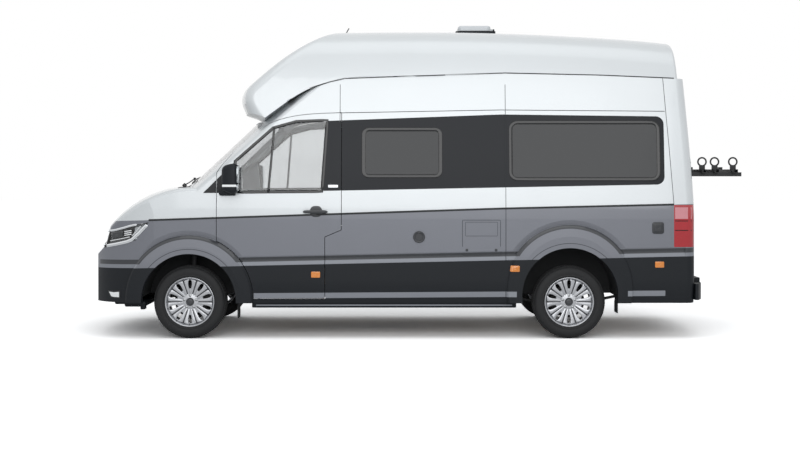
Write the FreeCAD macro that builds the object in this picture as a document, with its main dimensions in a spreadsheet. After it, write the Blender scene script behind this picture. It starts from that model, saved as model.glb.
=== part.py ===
# Camper van built on a long panel-van body, with a raised roof that reaches forward over the cab.
# Millimetres. X runs from the nose to the tail, Y to the right-hand side, Z up.
# The origin is on the ground, midway between the front bumper and the end of the cycle carrier.
import FreeCAD, Part
import math
import os

V = FreeCAD.Vector
doc = FreeCAD.newDocument("CamperVan")
sheet = doc.addObject("Spreadsheet::Sheet", "Sizes")

# Driving sizes. A station is a distance behind the front axle; a height is above the ground.
SIZES = [
    ("front_overhang", 1010), ("wheelbase", 3640), ("rear_overhang", 1336), ("carrier_reach", 392),
    ("half_width", 1020), ("waist_height", 1150), ("sill_half_width", 985), ("sill_height", 345),
    ("wall_thickness", 50), ("bonnet_thickness", 24), ("panel_gap", 6),
    ("glass_thickness", 6), ("glass_depth", 3), ("seal_gap", 0.3), ("groove_depth", 16),
    ("plan_axis_station", 2418), ("dome_axis_station", 3818), ("dome_shoulder", 100),
    ("dome_tail_edge", 25), ("shoulder_radius", 40),
    ("rear_corner_radius", 85), ("cap_shell", 35),
    ("wheel_radius", 350), ("tyre_width", 225), ("rim_radius", 236), ("track_half", 868),
    ("rim_width", 190), ("spoke_count", 10), ("hub_bore_radius", 33),
    ("hub_radius", 78), ("stud_circle", 60), ("wheel_stud_radius", 7), ("wheel_face_inset", 34),
    ("axle_clearance", 1), ("brake_radius", 160), ("brake_thickness", 26),
    ("kingpin_foot", 770), ("kingpin_top", 650), ("strut_radius", 34), ("strut_top_height", 860),
    ("front_arch_radius", 452), ("rear_arch_radius", 458), ("front_arch_height", 816),
    ("rear_arch_height", 872), ("flare_radius", 605), ("flare_proud", 14), ("front_flare_height", 985),
    ("rear_flare_height", 1085), ("door_front", 264), ("door_rear", 1457), ("door_sill_height", 385),
    ("panel_joint", 3028), ("rear_door_half_width", 780), ("rear_door_sill", 575), ("rear_door_top", 2410),
    ("floor_height", 520), ("floor_thickness", 60),
    ("seat_width", 500), ("seat_height", 880), ("seat_offset", 470), ("steering_wheel_radius", 190),
    ("steering_rim_radius", 14), ("steering_wheel_station", 600), ("steering_wheel_height", 1230),
    ("rail_half_spacing", 430), ("rail_width", 80), ("rail_height", 110),
    ("carrier_height", 1600), ("carrier_rail_length", 720), ("mirror_reach", 1213), ("hinge_offset", 15),
    ("hatch_length", 332), ("hatch_width", 410), ("hatch_station", 2775), ("hatch_top", 3090),
    ("hatch_pin_station", 2975), ("hatch_pin_height", 3052), ("antenna_length", 104),
]
for row, (name, value) in enumerate(SIZES, start=1):
    sheet.set(f"A{row}", name)
    sheet.set(f"B{row}", str(value))
    sheet.setAlias(f"B{row}", name)
doc.recompute()


def size(name):
    return float(sheet.get(name))


AXLE_X = "(Sizes.front_overhang - Sizes.wheelbase - Sizes.rear_overhang - Sizes.carrier_reach) / 2"
wheelbase = size("wheelbase")
nose = -size("front_overhang")
tail = wheelbase + size("rear_overhang")
tail_face = tail - 136
carrier_end = tail + size("carrier_reach")
half_width = size("half_width")
waist = size("waist_height")
wall = size("wall_thickness")
gap = size("panel_gap")
plan_axis = size("plan_axis_station")
FORM_TOP = 3060
FORM_BOTTOM = 280
SLOPE = 0.0215
LEFT = -1
RIGHT = 1
nodes = {}


def place(obj, label):
    """Gives a finished sub-part its name and moves it from the front axle to the van's own origin."""
    obj.Label = label
    obj.setExpression("Placement.Base.x", AXLE_X)
    nodes[label] = obj
    return obj


def feature(label, shape):
    obj = doc.addObject("Part::Feature", label)
    obj.Shape = shape if shape.Placement.isIdentity() else Part.Compound([shape])
    return place(obj, label)


def polygon(points):
    """A closed wire of straight edges."""
    return Part.makePolygon([V(*p) for p in points] + [V(*points[0])])


def curve(points, plane):
    """A smooth edge through points given in the XZ, XY or YZ plane."""
    spline = Part.BSplineCurve()
    spline.interpolate([to_plane(p, plane) for p in points])
    return spline.toShape()


def to_plane(p, plane):
    return {"XZ": V(p[0], 0, p[1]), "XY": V(p[0], p[1], 0), "YZ": V(0, p[0], p[1])}[plane]


def rounded(points, radius, plane):
    """A closed wire through corner points, each corner rounded to one radius."""
    corners = [to_plane(p, plane) for p in points]
    edges = []
    ends = []
    count = len(corners)
    for i, corner in enumerate(corners):
        before = (corners[i - 1] - corner).normalize()
        after = (corners[(i + 1) % count] - corner).normalize()
        half_turn = before.getAngle(after) / 2
        reach = radius / math.tan(half_turn)
        middle = (before + after).normalize() * (radius / math.sin(half_turn) - radius)
        ends.append((corner + before * reach, corner + middle, corner + after * reach))
    for i, (start, mid, end) in enumerate(ends):
        edges.append(Part.Arc(start, mid, end).toShape())
        edges.append(Part.makeLine(end, ends[(i + 1) % count][0]))
    return Part.Wire(edges)


def outset(wire, distance):
    """The same outline, grown by a distance or, where it is negative, taken in."""
    if not distance:
        return wire
    edges = []
    for edge in wire.makeOffset2D(distance).Edges:
        if edge.Curve.TypeId == "Part::GeomOffsetCurve":
            edge = edge.Curve.toBSpline(edge.FirstParameter, edge.LastParameter).toShape()
        edges.append(edge)
    return Part.Wire(Part.__sortEdges__(edges))


def side_prism(wire, side, grow=0.0, inner=600):
    """The space behind a side-view outline, from a little inboard to beyond the skin, on one side."""
    face = Part.Face(outset(wire, grow))
    face.translate(V(0, side * inner, 0))
    return face.extrude(V(0, side * 700, 0))


def tail_prism(wire, grow=0.0, depth=420):
    """The space behind a rear-view outline, through the tail of the body."""
    face = Part.Face(outset(wire, grow))
    face.translate(V(tail_face - depth + 100, 0, 0))
    return face.extrude(V(depth, 0, 0))


def nose_prism(wire, start, length, grow=0.0):
    face = Part.Face(outset(wire, grow))
    face.translate(V(start, 0, 0))
    return face.extrude(V(length, 0, 0))


def box(x0, x1, y0, y1, z0, z1):
    return Part.makeBox(x1 - x0, y1 - y0, z1 - z0, V(x0, y0, z0))


def section_solid(inset):
    sill = size("sill_half_width")
    low = [(sill, FORM_BOTTOM), (half_width - 14, 400), (half_width, 560)]
    high = [(half_width, waist), (half_width - 12, 1420), (half_width - 40, 1800), (half_width - 80, 2165),
            (half_width - 115, 2500), (half_width - 165, 2800), (half_width - 215, FORM_TOP)]
    lower = Part.BSplineCurve()
    lower.interpolate(Points=[to_plane(p, "YZ") for p in low],
                      InitialTangent=V(0, 30, 150), FinalTangent=V(0, 0, 150))
    upper = Part.BSplineCurve()
    upper.interpolate(Points=[to_plane(p, "YZ") for p in high],
                      InitialTangent=V(0, 0, 300), FinalTangent=V(0, -60, 300))
    middle = Part.makeLine(to_plane(low[-1], "YZ"), to_plane(high[0], "YZ"))
    side = [lower.toShape(), middle, upper.toShape()]
    other = [edge.mirror(V(0, 0, 0), V(0, 1, 0)) for edge in side]
    top = Part.makeLine(to_plane(high[-1], "YZ"), V(0, -high[-1][0], FORM_TOP))
    bottom = Part.makeLine(to_plane(low[0], "YZ"), V(0, -sill, FORM_BOTTOM))
    wire = Part.Wire(Part.__sortEdges__(side + other + [top, bottom]))
    face = Part.Face(outset(wire, -inset))
    face.translate(V(nose - 300, 0, 0))
    return face.extrude(V(tail_face - nose + 600, 0, 0))


def turned(wire, axis_station, reach, height):
    """The half-disc that a side-view outline sweeps round the front of an upright axis."""
    half = box(axis_station - reach, axis_station, -50, 50, 0, height)
    profile = Part.Face(wire).common(half)
    solid = profile.revolve(V(axis_station, 0, 0), V(0, 0, 1), 180)
    solid.rotate(V(axis_station, 0, 0), V(0, 0, 1), -90)
    return solid


cowl = (-126, 1448)
bonnet_line = [(nose + 120, 1073), (nose + 273, 1231), (nose + 461, 1352), (nose + 647, 1422), cowl]
SCREEN_RISE = 0.945


def screen_station(height):
    return cowl[0] + (height - cowl[1]) / SCREEN_RISE


def front_solid(inset):
    face_line = [(nose, FORM_BOTTOM), (nose, 800), (nose + 50, 860), (nose + 80, 910), bonnet_line[0]]
    edges = [Part.makeLine(to_plane(a, "XZ"), to_plane(b, "XZ")) for a, b in zip(face_line, face_line[1:])]
    edges.append(curve(bonnet_line, "XZ"))
    rest = [cowl, (screen_station(FORM_TOP), FORM_TOP), (plan_axis + 300, FORM_TOP),
            (plan_axis + 300, FORM_BOTTOM), face_line[0]]
    edges += [Part.makeLine(to_plane(a, "XZ"), to_plane(b, "XZ")) for a, b in zip(rest, rest[1:])]
    solid = turned(outset(Part.Wire(edges), -inset), plan_axis, plan_axis - nose + 200, FORM_TOP)
    room = box(plan_axis - 1, tail_face + 200, -1300, 1300, FORM_BOTTOM + inset, FORM_TOP - inset)
    return solid.fuse(room)


def rear_solid(inset):
    """Everything ahead of the leaning tail."""
    line = [(tail_face, waist), (tail_face - 18, 1580), (tail_face - 50, 2050), (tail_face - 130, FORM_TOP)]
    lean = Part.BSplineCurve()
    lean.interpolate(Points=[to_plane(p, "XZ") for p in line],
                     InitialTangent=V(0, 0, 430), FinalTangent=V(-80, 0, 1000))
    back = [line[-1], (nose - 600, FORM_TOP), (nose - 600, FORM_BOTTOM), (tail_face, FORM_BOTTOM), line[0]]
    edges = [Part.makeLine(to_plane(a, "XZ"), to_plane(b, "XZ")) for a, b in zip(back, back[1:])]
    face = Part.Face(outset(Part.Wire([lean.toShape()] + edges), -inset))
    face.translate(V(0, -1300, 0))
    return face.extrude(V(0, 2600, 0))


def plan_solid(inset):
    nose_corner = [(nose + 890, half_width + 10), (nose + 610, half_width - 8), (nose + 360, half_width - 70),
                   (nose + 180, half_width - 170), (nose + 80, half_width - 280), (nose, half_width - 460),
                   (nose - 50, half_width - 720)]
    right = curve(nose_corner, "XY")
    left = right.mirror(V(0, 0, 0), V(0, 1, 0))
    end = tail_face + 200
    y = half_width + 10
    tip = nose_corner[-1]
    edges = [left, right, Part.makeLine(V(tip[0], tip[1], 0), V(tip[0], -tip[1], 0)),
             Part.makeLine(V(nose_corner[0][0], y, 0), V(end, y, 0)),
             Part.makeLine(V(end, y, 0), V(end, -y, 0)),
             Part.makeLine(V(nose_corner[0][0], -y, 0), V(end, -y, 0))]
    wire = Part.Wire(Part.__sortEdges__(edges))
    return Part.Face(outset(wire, -inset)).extrude(V(0, 0, FORM_TOP + 200))


def upright_corners(shape):
    """The edges where the sides meet the tail."""
    return [e for e in shape.Edges if e.BoundBox.XMin > tail_face - 140 and e.BoundBox.ZLength > 100
            and e.BoundBox.YMin * e.BoundBox.YMax > 0]


def form(inset, corner=0):
    rear = section_solid(inset).common(rear_solid(inset))
    if corner:
        rear = rear.makeFillet(corner, upright_corners(rear))
    return rear.common(front_solid(inset)).common(plan_solid(inset))


# The joint between the steel body and the moulded roof, seen from the side.
joint_line = [(684, 2092), (906, 2256), (1148, 2401), (1341, 2464), (1486, 2498), (2017, 2517), (3031, 2551),
              (3949, 2531), (tail_face + 60, 2486)]


def below_joint(drop):
    """Everything under the roof joint, lowered by a drop."""
    low = [(nose - 200, FORM_BOTTOM - 50), (tail_face + 60, FORM_BOTTOM - 50)]
    edge = curve(joint_line, "XZ")
    start = to_plane(joint_line[0], "XZ")
    end = to_plane(joint_line[-1], "XZ")
    front = V(nose - 200, 0, joint_line[0][1])
    edges = [edge, Part.makeLine(end, to_plane(low[1], "XZ")),
             Part.makeLine(to_plane(low[1], "XZ"), to_plane(low[0], "XZ")),
             Part.makeLine(to_plane(low[0], "XZ"), front), Part.makeLine(front, start)]
    face = Part.Face(Part.Wire(edges))
    face.translate(V(0, -1400, -drop))
    return face.extrude(V(0, 2800, 0))


def edges_within(shape, z_low, z_high, x_low, x_high, y_least):
    """The edges that lie wholly inside a range of heights and stations, off the middle of the van."""
    found = []
    for edge in shape.Edges:
        b = edge.BoundBox
        off_middle = min(abs(b.YMin), abs(b.YMax)) > y_least and b.YMin * b.YMax > 0
        if off_middle and z_low <= b.ZMin and b.ZMax <= z_high and x_low <= b.XMin and b.XMax <= x_high:
            found.append(edge)
    return found


plain_form = form(0, size("rear_corner_radius"))
shoulders = [e for e in edges_within(plain_form, 1060, FORM_TOP + 1, nose, plan_axis - 100, 500)
             if e.BoundBox.ZLength > 60 and e.BoundBox.XLength > 100]
outer_form = plain_form.makeFillet(size("shoulder_radius"), shoulders)
inner_form = form(wall)
body_space = below_joint(0)
outer_body = outer_form.common(body_space)
shell = outer_body.cut(inner_form)

# Flares round the wheel arches, the arches themselves and the creased line along each side.
def disc(station, height, radius, y0, y1):
    """A disc or drum whose axis runs across the van, on one side."""
    return Part.makeCylinder(radius, abs(y1 - y0), V(station, min(y0, y1), height), V(0, 1, 0))


def flare(station, height, side):
    radius = size("flare_radius")
    proud = half_width + size("flare_proud")
    profile = [(0, half_width - wall), (0, proud + 2), (radius - 105, proud + 2), (radius - 14, proud - 2),
               (radius, half_width), (radius, half_width - wall)]
    face = Part.Face(polygon([to_plane(p, "XY") for p in profile]))
    solid = face.revolve(V(0, 0, 0), V(0, 1, 0), 360)
    if side == LEFT:
        solid = solid.mirror(V(0, 0, 0), V(0, 1, 0))
    solid.translate(V(station, 0, height))
    return solid


def flare_ring_cut(station, height, side):
    """The dark hollow that follows a flare's outline."""
    radius = size("flare_radius")
    depth = size("groove_depth")
    profile = [(radius - 1, half_width + 2), (radius - 1, half_width - 4), (radius + 12, half_width - depth),
               (radius + 58, half_width + 2)]
    face = Part.Face(polygon([to_plane(p, "XY") for p in profile]))
    solid = face.revolve(V(0, 0, 0), V(0, 1, 0), 360)
    if side == LEFT:
        solid = solid.mirror(V(0, 0, 0), V(0, 1, 0))
    solid.translate(V(station, 0, height))
    return solid.common(box(station - 700, station + 700, -1200, 1200, crease(station)[1], 1300))


def crease(station):
    """The crease's bottom, deepest and top height at a station."""
    return (690 + SLOPE * station, 735 + SLOPE * station, 785 + SLOPE * station)


def crease_cut(start, end, side):
    depth = size("groove_depth")
    low, deep, high = crease(start)
    wire = polygon([V(start, side * (half_width + 2), low), V(start, side * (half_width - depth), deep),
                    V(start, side * (half_width - depth), deep + 12), V(start, side * (half_width + 2), high)])
    return Part.Face(wire).extrude(V(end - start, 0, SLOPE * (end - start)))


FLARES = [(0, size("front_flare_height") - size("flare_radius")),
          (wheelbase, size("rear_flare_height") - size("flare_radius"))]
ARCHES = [(0, size("front_arch_height") - size("front_arch_radius"), size("front_arch_radius")),
          (wheelbase, size("rear_arch_height") - size("rear_arch_radius"), size("rear_arch_radius"))]
flare_reach = size("flare_radius") * 0.85
crease_runs = [(flare_reach, wheelbase - flare_reach), (wheelbase + flare_reach, tail_face - 100)]
cuts = []
for side in (LEFT, RIGHT):
    shell_flares = [flare(station, height, side) for station, height in FLARES]
    shell = shell.fuse(shell_flares)
    cuts += [flare_ring_cut(station, height, side) for station, height in FLARES]
    cuts += [crease_cut(start, end, side) for start, end in crease_runs]
    cuts += [disc(station, height, radius, side * 600, side * 1200) for station, height, radius in ARCHES]
cuts.append(box(nose - 400, tail + 100, -1300, 1300, -400, size("sill_height")))
shell = shell.cut(cuts)


# Outlines of the panels, seen from the side, as stations and heights.
door_front = size("door_front")
door_rear = size("door_rear")
panel_joint = size("panel_joint")
door_sill = size("door_sill_height")
DOOR_TOP_LINE = [(door_front, 1590), (379, 1751), (563, 1926), (748, 2055), (896, 2110), (1024, 2138),
                 (1301, 2162), (door_rear, 2168)]


def cab_door_wire():
    lower = [(door_rear, 2168), (door_rear, 1044), (1299, 977), (1299, door_sill), (door_front, door_sill),
             (door_front, 1590)]
    edges = [curve(DOOR_TOP_LINE, "XZ")]
    edges += [Part.makeLine(to_plane(a, "XZ"), to_plane(b, "XZ")) for a, b in zip(lower, lower[1:])]
    return Part.Wire(edges)


def cab_door_space(side, grow):
    """The space a cab door fills; its lower front edge follows the flare."""
    station, height = FLARES[0]
    flare_space = disc(station, height, size("flare_radius") + 10 - grow, side * 700, side * 1200)
    return side_prism(cab_door_wire(), side, grow, 850).cut(flare_space)


CAB_WINDOW = [(471, 1402), (1273, 1410), (1321, 2095), (1024, 2084), (800, 2022), (437, 1700)]
SIDE_WINDOW = [(1663, 1552), (2410, 1552), (2410, 2012), (1663, 2012)]
REAR_SIDE_WINDOW = [(3071, 1523), (4500, 1523), (4500, 2079), (3071, 2079)]
HEADLAMP = [(-381, 1118), (-511, 943), (-834, 867), (-1100, 867), (-1100, 1030), (-834, 1024)]
BUMPER_SHUT = [(nose - 200, 200), (nose - 200, 867), (-834, 867), (-511, 943), (-430, 720), (-430, 200)]
REAR_PILLAR = [(4546, 2509), (4632, 1283), (4632, 575), (4545, 575), (4545, 200), (tail + 50, 200),
               (tail + 50, 2700)]


def side_wire(points, radius=0):
    return rounded(points, radius, "XZ") if radius else polygon([to_plane(p, "XZ") for p in points])


def whole_prism(points, grow=0.0, half=1300):
    """The space behind a side-view outline through the whole width of the van."""
    face = Part.Face(outset(side_wire(points), grow))
    face.translate(V(0, -half, 0))
    return face.extrude(V(0, 2 * half, 0))


half_gap = gap / 2
grille_half_width = 470
bonnet_half_width = 770
bonnet_front_height = 1034
bonnet_rear_station = -160


def bonnet_space(grow):
    return box(nose - 300, bonnet_rear_station + grow, -bonnet_half_width - grow, bonnet_half_width + grow,
               bonnet_front_height - grow, 1800)


door_spaces = {side: cab_door_space(side, half_gap) for side in (LEFT, RIGHT)}
doors = {side: shell.common(cab_door_space(side, -half_gap)) for side in (LEFT, RIGHT)}
rear_door_wire = rounded([(-size("rear_door_half_width"), size("rear_door_sill")),
                          (size("rear_door_half_width"), size("rear_door_sill")),
                          (size("rear_door_half_width") - 35, size("rear_door_top")),
                          (-size("rear_door_half_width") + 35, size("rear_door_top"))], 45, "YZ")
rear_doors_space = tail_prism(rear_door_wire, half_gap, 300)
rear_doors = shell.common(tail_prism(rear_door_wire, -half_gap, 300))
frame = shell.cut([door_spaces[LEFT], door_spaces[RIGHT], rear_doors_space])
frame = frame.cut(bonnet_space(half_gap))


# The fixed panels, each cut where the real ones meet.
bumper_zone = whole_prism(BUMPER_SHUT)
lamp_zone = whole_prism(HEADLAMP).cut(box(-1400, 0, -grille_half_width, grille_half_width, 700, 1200))
grille_zone = box(nose - 200, -700, -grille_half_width, grille_half_width, 867, 1031)
wing_zone = box(nose - 200, 330, -1300, 1300, 200, 1424).fuse(box(nose - 200, 700, -1300, 1300, 200, 1000))
cab_zone = box(nose - 200, door_rear, -1300, 1300, 1424, 2700).fuse(
    box(door_front - 60, door_rear, -1300, 1300, 1424, 2700))
pillar_zone = whole_prism(REAR_PILLAR)
tail_lamp_wire = [(4632, 1283), (4632, 881), (tail, 881), (tail, 1283)]
tail_lamp_zone = whole_prism(tail_lamp_wire).cut(box(4500, 5200, -870, 870, 800, 1400))
screen_wire = rounded([(-890, 1490), (890, 1490), (775, 2078), (-775, 2078)], 70, "YZ")


def screen_prism(grow):
    return nose_prism(screen_wire, -400, 1150, grow)


def window_prism(points, side, radius, grow=0.0):
    return side_prism(side_wire(points, radius), side, grow, 700)


front_bumper_skin = frame.common(bumper_zone)
headlamps = frame.common(lamp_zone)
grille = frame.common(grille_zone)
front = frame.common(wing_zone).cut([bumper_zone, lamp_zone, grille_zone])
cab_frame = frame.common(cab_zone).cut(screen_prism(0))
tail_lamps = frame.common(tail_lamp_zone)
rear_frame = frame.common(pillar_zone).cut(tail_lamp_zone)
rear_part = frame.cut([bumper_zone, wing_zone, cab_zone, pillar_zone, lamp_zone])
left_space = box(-2000, 6000, -1300, 0, 0, 3000)
right_space = box(-2000, 6000, 0, 1300, 0, 3000)
wall_left = rear_part.common(left_space).cut([window_prism(SIDE_WINDOW, LEFT, 45),
                                              window_prism(REAR_SIDE_WINDOW, LEFT, 60)])
wall_right = rear_part.common(right_space).cut([window_prism(SIDE_WINDOW, RIGHT, 45),
                                                window_prism(REAR_SIDE_WINDOW, RIGHT, 60)])
slider_space = box(door_rear, panel_joint, 0, 1300, 200, 2450)
sliding_door = wall_right.common(slider_space)
side_wall_right = wall_right.cut(slider_space)

bonnet_hinge_height = 1443
rear_hinge_heights = (720, 1000)
rear_hinge_half_width = size("rear_door_half_width") + half_gap


def with_bonnet_hinges(shape):
    """Two round-nosed lugs in the bonnet's rear gap, on its hinge line."""
    nose_radius = half_gap - size("seal_gap")
    lugs = []
    for side in (LEFT, RIGHT):
        y = min(side * 60, side * 160)
        knuckle_foot = V(bonnet_rear_station, y, bonnet_hinge_height)
        lugs.append(Part.makeCylinder(nose_radius, 100, knuckle_foot, V(0, 1, 0)))
        lugs.append(box(bonnet_rear_station, bonnet_rear_station + 12, y, y + 100,
                        bonnet_hinge_height - nose_radius, bonnet_hinge_height + nose_radius))
    return shape.fuse(lugs)


def rear_hinge(side, height, inward):
    """Half a hinge: a knuckle on the pin line and the strap that holds it to the door or the pillar."""
    x = tail_face + size("hinge_offset")
    y = side * rear_hinge_half_width
    low = height + (size("seal_gap") if inward else -40)
    knuckle_shape = Part.makeCylinder(9, 40, V(x, y, low))
    way = -side if inward else side
    end = y + way * 70
    foot = y + way * 20
    strap = box(tail_face + size("seal_gap"), x - 3, min(y, end), max(y, end), low, low + 40)
    seat_block = box(tail_face - 2, tail_face + 1, min(foot, end), max(foot, end), low, low + 40)
    return knuckle_shape.fuse([strap, seat_block])


feature("headlamps", headlamps)
feature("grille", grille)
feature("front_wings", front)
feature("cab_frame", with_bonnet_hinges(cab_frame))
feature("tail_lamps", tail_lamps)
feature("side_wall_left", wall_left)
feature("side_wall_right", side_wall_right)
feature("sliding_door", sliding_door)


# Front bumper with its lower intake shelf, and the rear bumper with its step.
def front_bumper():
    lip_space = box(nose, nose + 260, -700, 700, size("sill_height"), 400)
    lip = plan_solid(-2).common(front_solid(0)).common(lip_space).cut(plan_solid(120))
    return front_bumper_skin.fuse(lip)


def rear_bumper():
    """A step across the tail whose ends sweep forward to the body's sides."""
    foot = 373
    step_height = 155
    half = [(tail_face, half_width - 12), (tail_face + 32, half_width - 24), (tail - 52, half_width - 150),
            (tail - 14, half_width - 420), (tail, half_width - 720)]
    outline = half + [(x, -y) for x, y in half[::-1]]
    block = Part.Face(rounded(outline, 18, "XY")).extrude(V(0, 0, step_height))
    block.translate(V(0, 0, foot))
    under = box(tail_face, tail - 60, -half_width + 220, half_width - 220, foot - 30, foot + step_height - 40)
    riser_space = box(tail_face, tail - 40, -half_width + 250, half_width - 250, foot + step_height - 1,
                      size("rear_door_sill") - gap)
    return block.cut(under).fuse(riser_space)


feature("front_bumper", front_bumper())
feature("rear_bumper", rear_bumper())
pillar_hinges = [rear_hinge(side, z, False) for side in (LEFT, RIGHT) for z in rear_hinge_heights]
feature("rear_frame", rear_frame.fuse(pillar_hinges))

# The bonnet is one thin pressing, hinged at the cowl.
bonnet_under = form(size("bonnet_thickness"))
feature("bonnet", outer_form.common(bonnet_space(-half_gap)).cut(bonnet_under))

# Glass lies a little below the paint, in the openings cut for it.
glass_layer = form(size("glass_depth")).cut(form(size("glass_depth") + size("glass_thickness")))
seal = -size("seal_gap")
feature("windscreen", glass_layer.common(screen_prism(seal)).common(body_space))


def side_glass(points, side, radius):
    return glass_layer.common(window_prism(points, side, radius, seal))


camper_panes = [side_glass(points, side, radius) for side in (LEFT, RIGHT)
                for points, radius in ((SIDE_WINDOW, 45), (REAR_SIDE_WINDOW, 60))]
feature("camper_windows", Part.Compound(camper_panes))

# The cab doors, with their windows cut out.
for side, word in ((LEFT, "left"), (RIGHT, "right")):
    feature(f"cab_door_{word}", doors[side].cut(window_prism(CAB_WINDOW, side, 18)))
    feature(f"cab_door_glass_{word}", side_glass(CAB_WINDOW, side, 18))

# The rear doors meet at the middle of the van.
for side, word in ((LEFT, "left"), (RIGHT, "right")):
    pane = rounded([(side * 150, 1500), (side * 670, 1500), (side * 640, 2060), (side * 150, 2060)], 50, "YZ")
    reach = sorted([side * half_gap, side * 1300])
    half_space = box(4000, 5200, reach[0], reach[1], 300, 2700)
    leaf = rear_doors.common(half_space).cut(tail_prism(pane, 0, 300))
    feature(f"rear_door_{word}", leaf.fuse([rear_hinge(side, z, True) for z in rear_hinge_heights]))
    feature(f"rear_door_glass_{word}", glass_layer.common(tail_prism(pane, seal, 300)))


# The raised roof: one moulding, hollow and open to the living space, with a nose over the windscreen.
def cap_section(inset, station, drop):
    side = [(half_width - 64, 2030), (half_width - 74, 2165), (half_width - 108, 2500), (half_width - 142, 2680),
            (half_width - 192, 2820), (half_width - 300, 2922), (half_width - 540, 2985), (0, 3022)]
    points = [V(station, y, z - drop) for y, z in side] + [V(station, -y, z - drop) for y, z in side[-2::-1]]
    spline = Part.BSplineCurve()
    spline.interpolate(points)
    closing = Part.makeLine(points[-1], points[0])
    wire = Part.Wire([spline.toShape(), closing])
    return outset(wire, -inset)


def cap_solid(inset):
    stations = [(300, 0), (1500, 0), (2714, 0), (3411, 22), (4009, 54), (4436, 86), (4900, 146)]
    body = Part.makeLoft([cap_section(inset, x, drop) for x, drop in stations], True)
    axis = size("dome_axis_station")
    nose_line = [(551, 2136), (455, 2166), (416, 2257), (427, 2380), (519, 2484), (800, 2715), (1021, 2855),
                 (1290, 2965), (1519, 3012), (1818, 3070)]
    rest = [(1818, 3070), (axis, 3070), (axis, 2040), (720, 2040), (551, 2136)]
    edges = [curve(nose_line[2:], "XZ")]
    corner_points = [(551, 2136), (455, 2166), (416, 2257)]
    edges += [Part.makeLine(to_plane(a, "XZ"), to_plane(b, "XZ"))
              for a, b in zip(corner_points, corner_points[1:])]
    edges += [Part.makeLine(to_plane(a, "XZ"), to_plane(b, "XZ")) for a, b in zip(rest, rest[1:])]
    wire = outset(Part.Wire(Part.__sortEdges__(edges)), -inset)
    dome = turned(wire, axis, axis, 3100)
    room = box(axis - 1, 5200, -1300, 1300, 2040 + inset, 3100)
    tail_line = [(4702, 2400), (4692, 2530), (4682, 2690), (4676, 2830), (4672, 2960)]
    tail_edges = [curve(tail_line, "XZ")]
    box_points = [(4672, 2960), (4672, 3200), (0, 3200), (0, 2000), (4702, 2000), (4702, 2400)]
    tail_edges += [Part.makeLine(to_plane(a, "XZ"), to_plane(b, "XZ"))
                   for a, b in zip(box_points, box_points[1:])]
    face = Part.Face(outset(Part.Wire(tail_edges), -inset))
    face.translate(V(0, -1300, 0))
    return body.common(dome.fuse(room)).common(face.extrude(V(0, 2600, 0)))


cap_plain = cap_solid(0)
cap_edges = [e for e in cap_plain.Edges if e.BoundBox.YLength > 1500 and e.BoundBox.ZLength > 600]
nose_edges = [e for e in cap_edges if e.BoundBox.XMax < plan_axis + 500]
cap_rounded = cap_plain.makeFillet(size("dome_shoulder"), nose_edges)
tail_outline = [e for e in cap_rounded.Edges
                if e.BoundBox.XMin > plan_axis + 500 and e.BoundBox.YLength > 1500 and e.BoundBox.ZLength > 400]
cap_outer = cap_rounded.makeFillet(size("dome_tail_edge"), tail_outline)
cap_inner = cap_solid(size("cap_shell"))
hatch_room = box(size("hatch_station") - 140, size("hatch_station") + 140, -190, 190, 2800, 3100)
cap_walls = cap_outer.cut(cap_inner).cut(body_space)
# Where the roof moulding overhangs the cab, a skin closes it underneath.
underside = cap_outer.common(below_joint(-size("cap_shell"))).cut([body_space, inner_form])
roof_cap = cap_walls.fuse(underside).cut(hatch_room)
feature("roof_cap", roof_cap)


# Floor, bulkhead and the wheel arches inside them.
floor_bottom = size("floor_height")
floor_top = floor_bottom + size("floor_thickness")
arch_skin = 6
arch_inner = 545
inside_space = inner_form.common(body_space)
arch_room = [disc(station, height, radius + arch_skin + 3, side * arch_inner, side * 1300)
             for side in (LEFT, RIGHT) for station, height, radius in ARCHES]
door_room = [box(door_front - 10, door_rear + 10, -1300, -half_width + wall + 6, 200, 2000),
             box(door_front - 10, door_rear + 10, half_width - wall - 6, 1300, 200, 2000)]
bulkhead_station = -160
floor_slab = inside_space.common(box(bulkhead_station, tail_face - wall - gap, -1300, 1300,
                                     floor_bottom, floor_top))
feature("floor", floor_slab.cut(arch_room + door_room))
bulkhead = inside_space.common(box(bulkhead_station - 20, bulkhead_station, -1300, 1300, floor_bottom, 1600))
feature("bulkhead", bulkhead.cut(arch_room))


def arch_liner(station, height, radius, side):
    """A drum-shaped liner over a wheel, closed on its inboard side and open below."""
    outer_end = side * (half_width - wall)
    drum = disc(station, height, radius + 3 + arch_skin, side * arch_inner, outer_end)
    drum = drum.cut(disc(station, height, radius + 3, side * (arch_inner + arch_skin), side * 1300))
    return drum.cut(box(station - 700, station + 700, -1300, 1300, -400, 400)).common(inside_space)


kingpin_foot = size("kingpin_foot")
kingpin_top = size("kingpin_top")
wheel_radius = size("wheel_radius")
foot_height = 205
strut_top = size("strut_top_height")
strut_radius = size("strut_radius")


def kingpin(side, height):
    """A point on the steering axis at a height."""
    share = (height - foot_height) / (strut_top - foot_height)
    return V(0, side * (kingpin_foot + (kingpin_top - kingpin_foot) * share), height)


def rod(start, end, radius):
    return Part.makeCylinder(radius, (end - start).Length, start, end - start)


def strut_tower(side):
    """The cup in the inner wing that holds a strut's top."""
    top = kingpin(side, strut_top)
    lean = strut_radius * (kingpin_foot - kingpin_top) / (strut_top - foot_height)
    depth = 50 + lean + size("seal_gap")
    return Part.makeCylinder(80, depth + 6, V(top.x, top.y, strut_top - 50)).cut(
        Part.makeCylinder(72, depth, V(top.x, top.y, strut_top - 50)))


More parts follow.
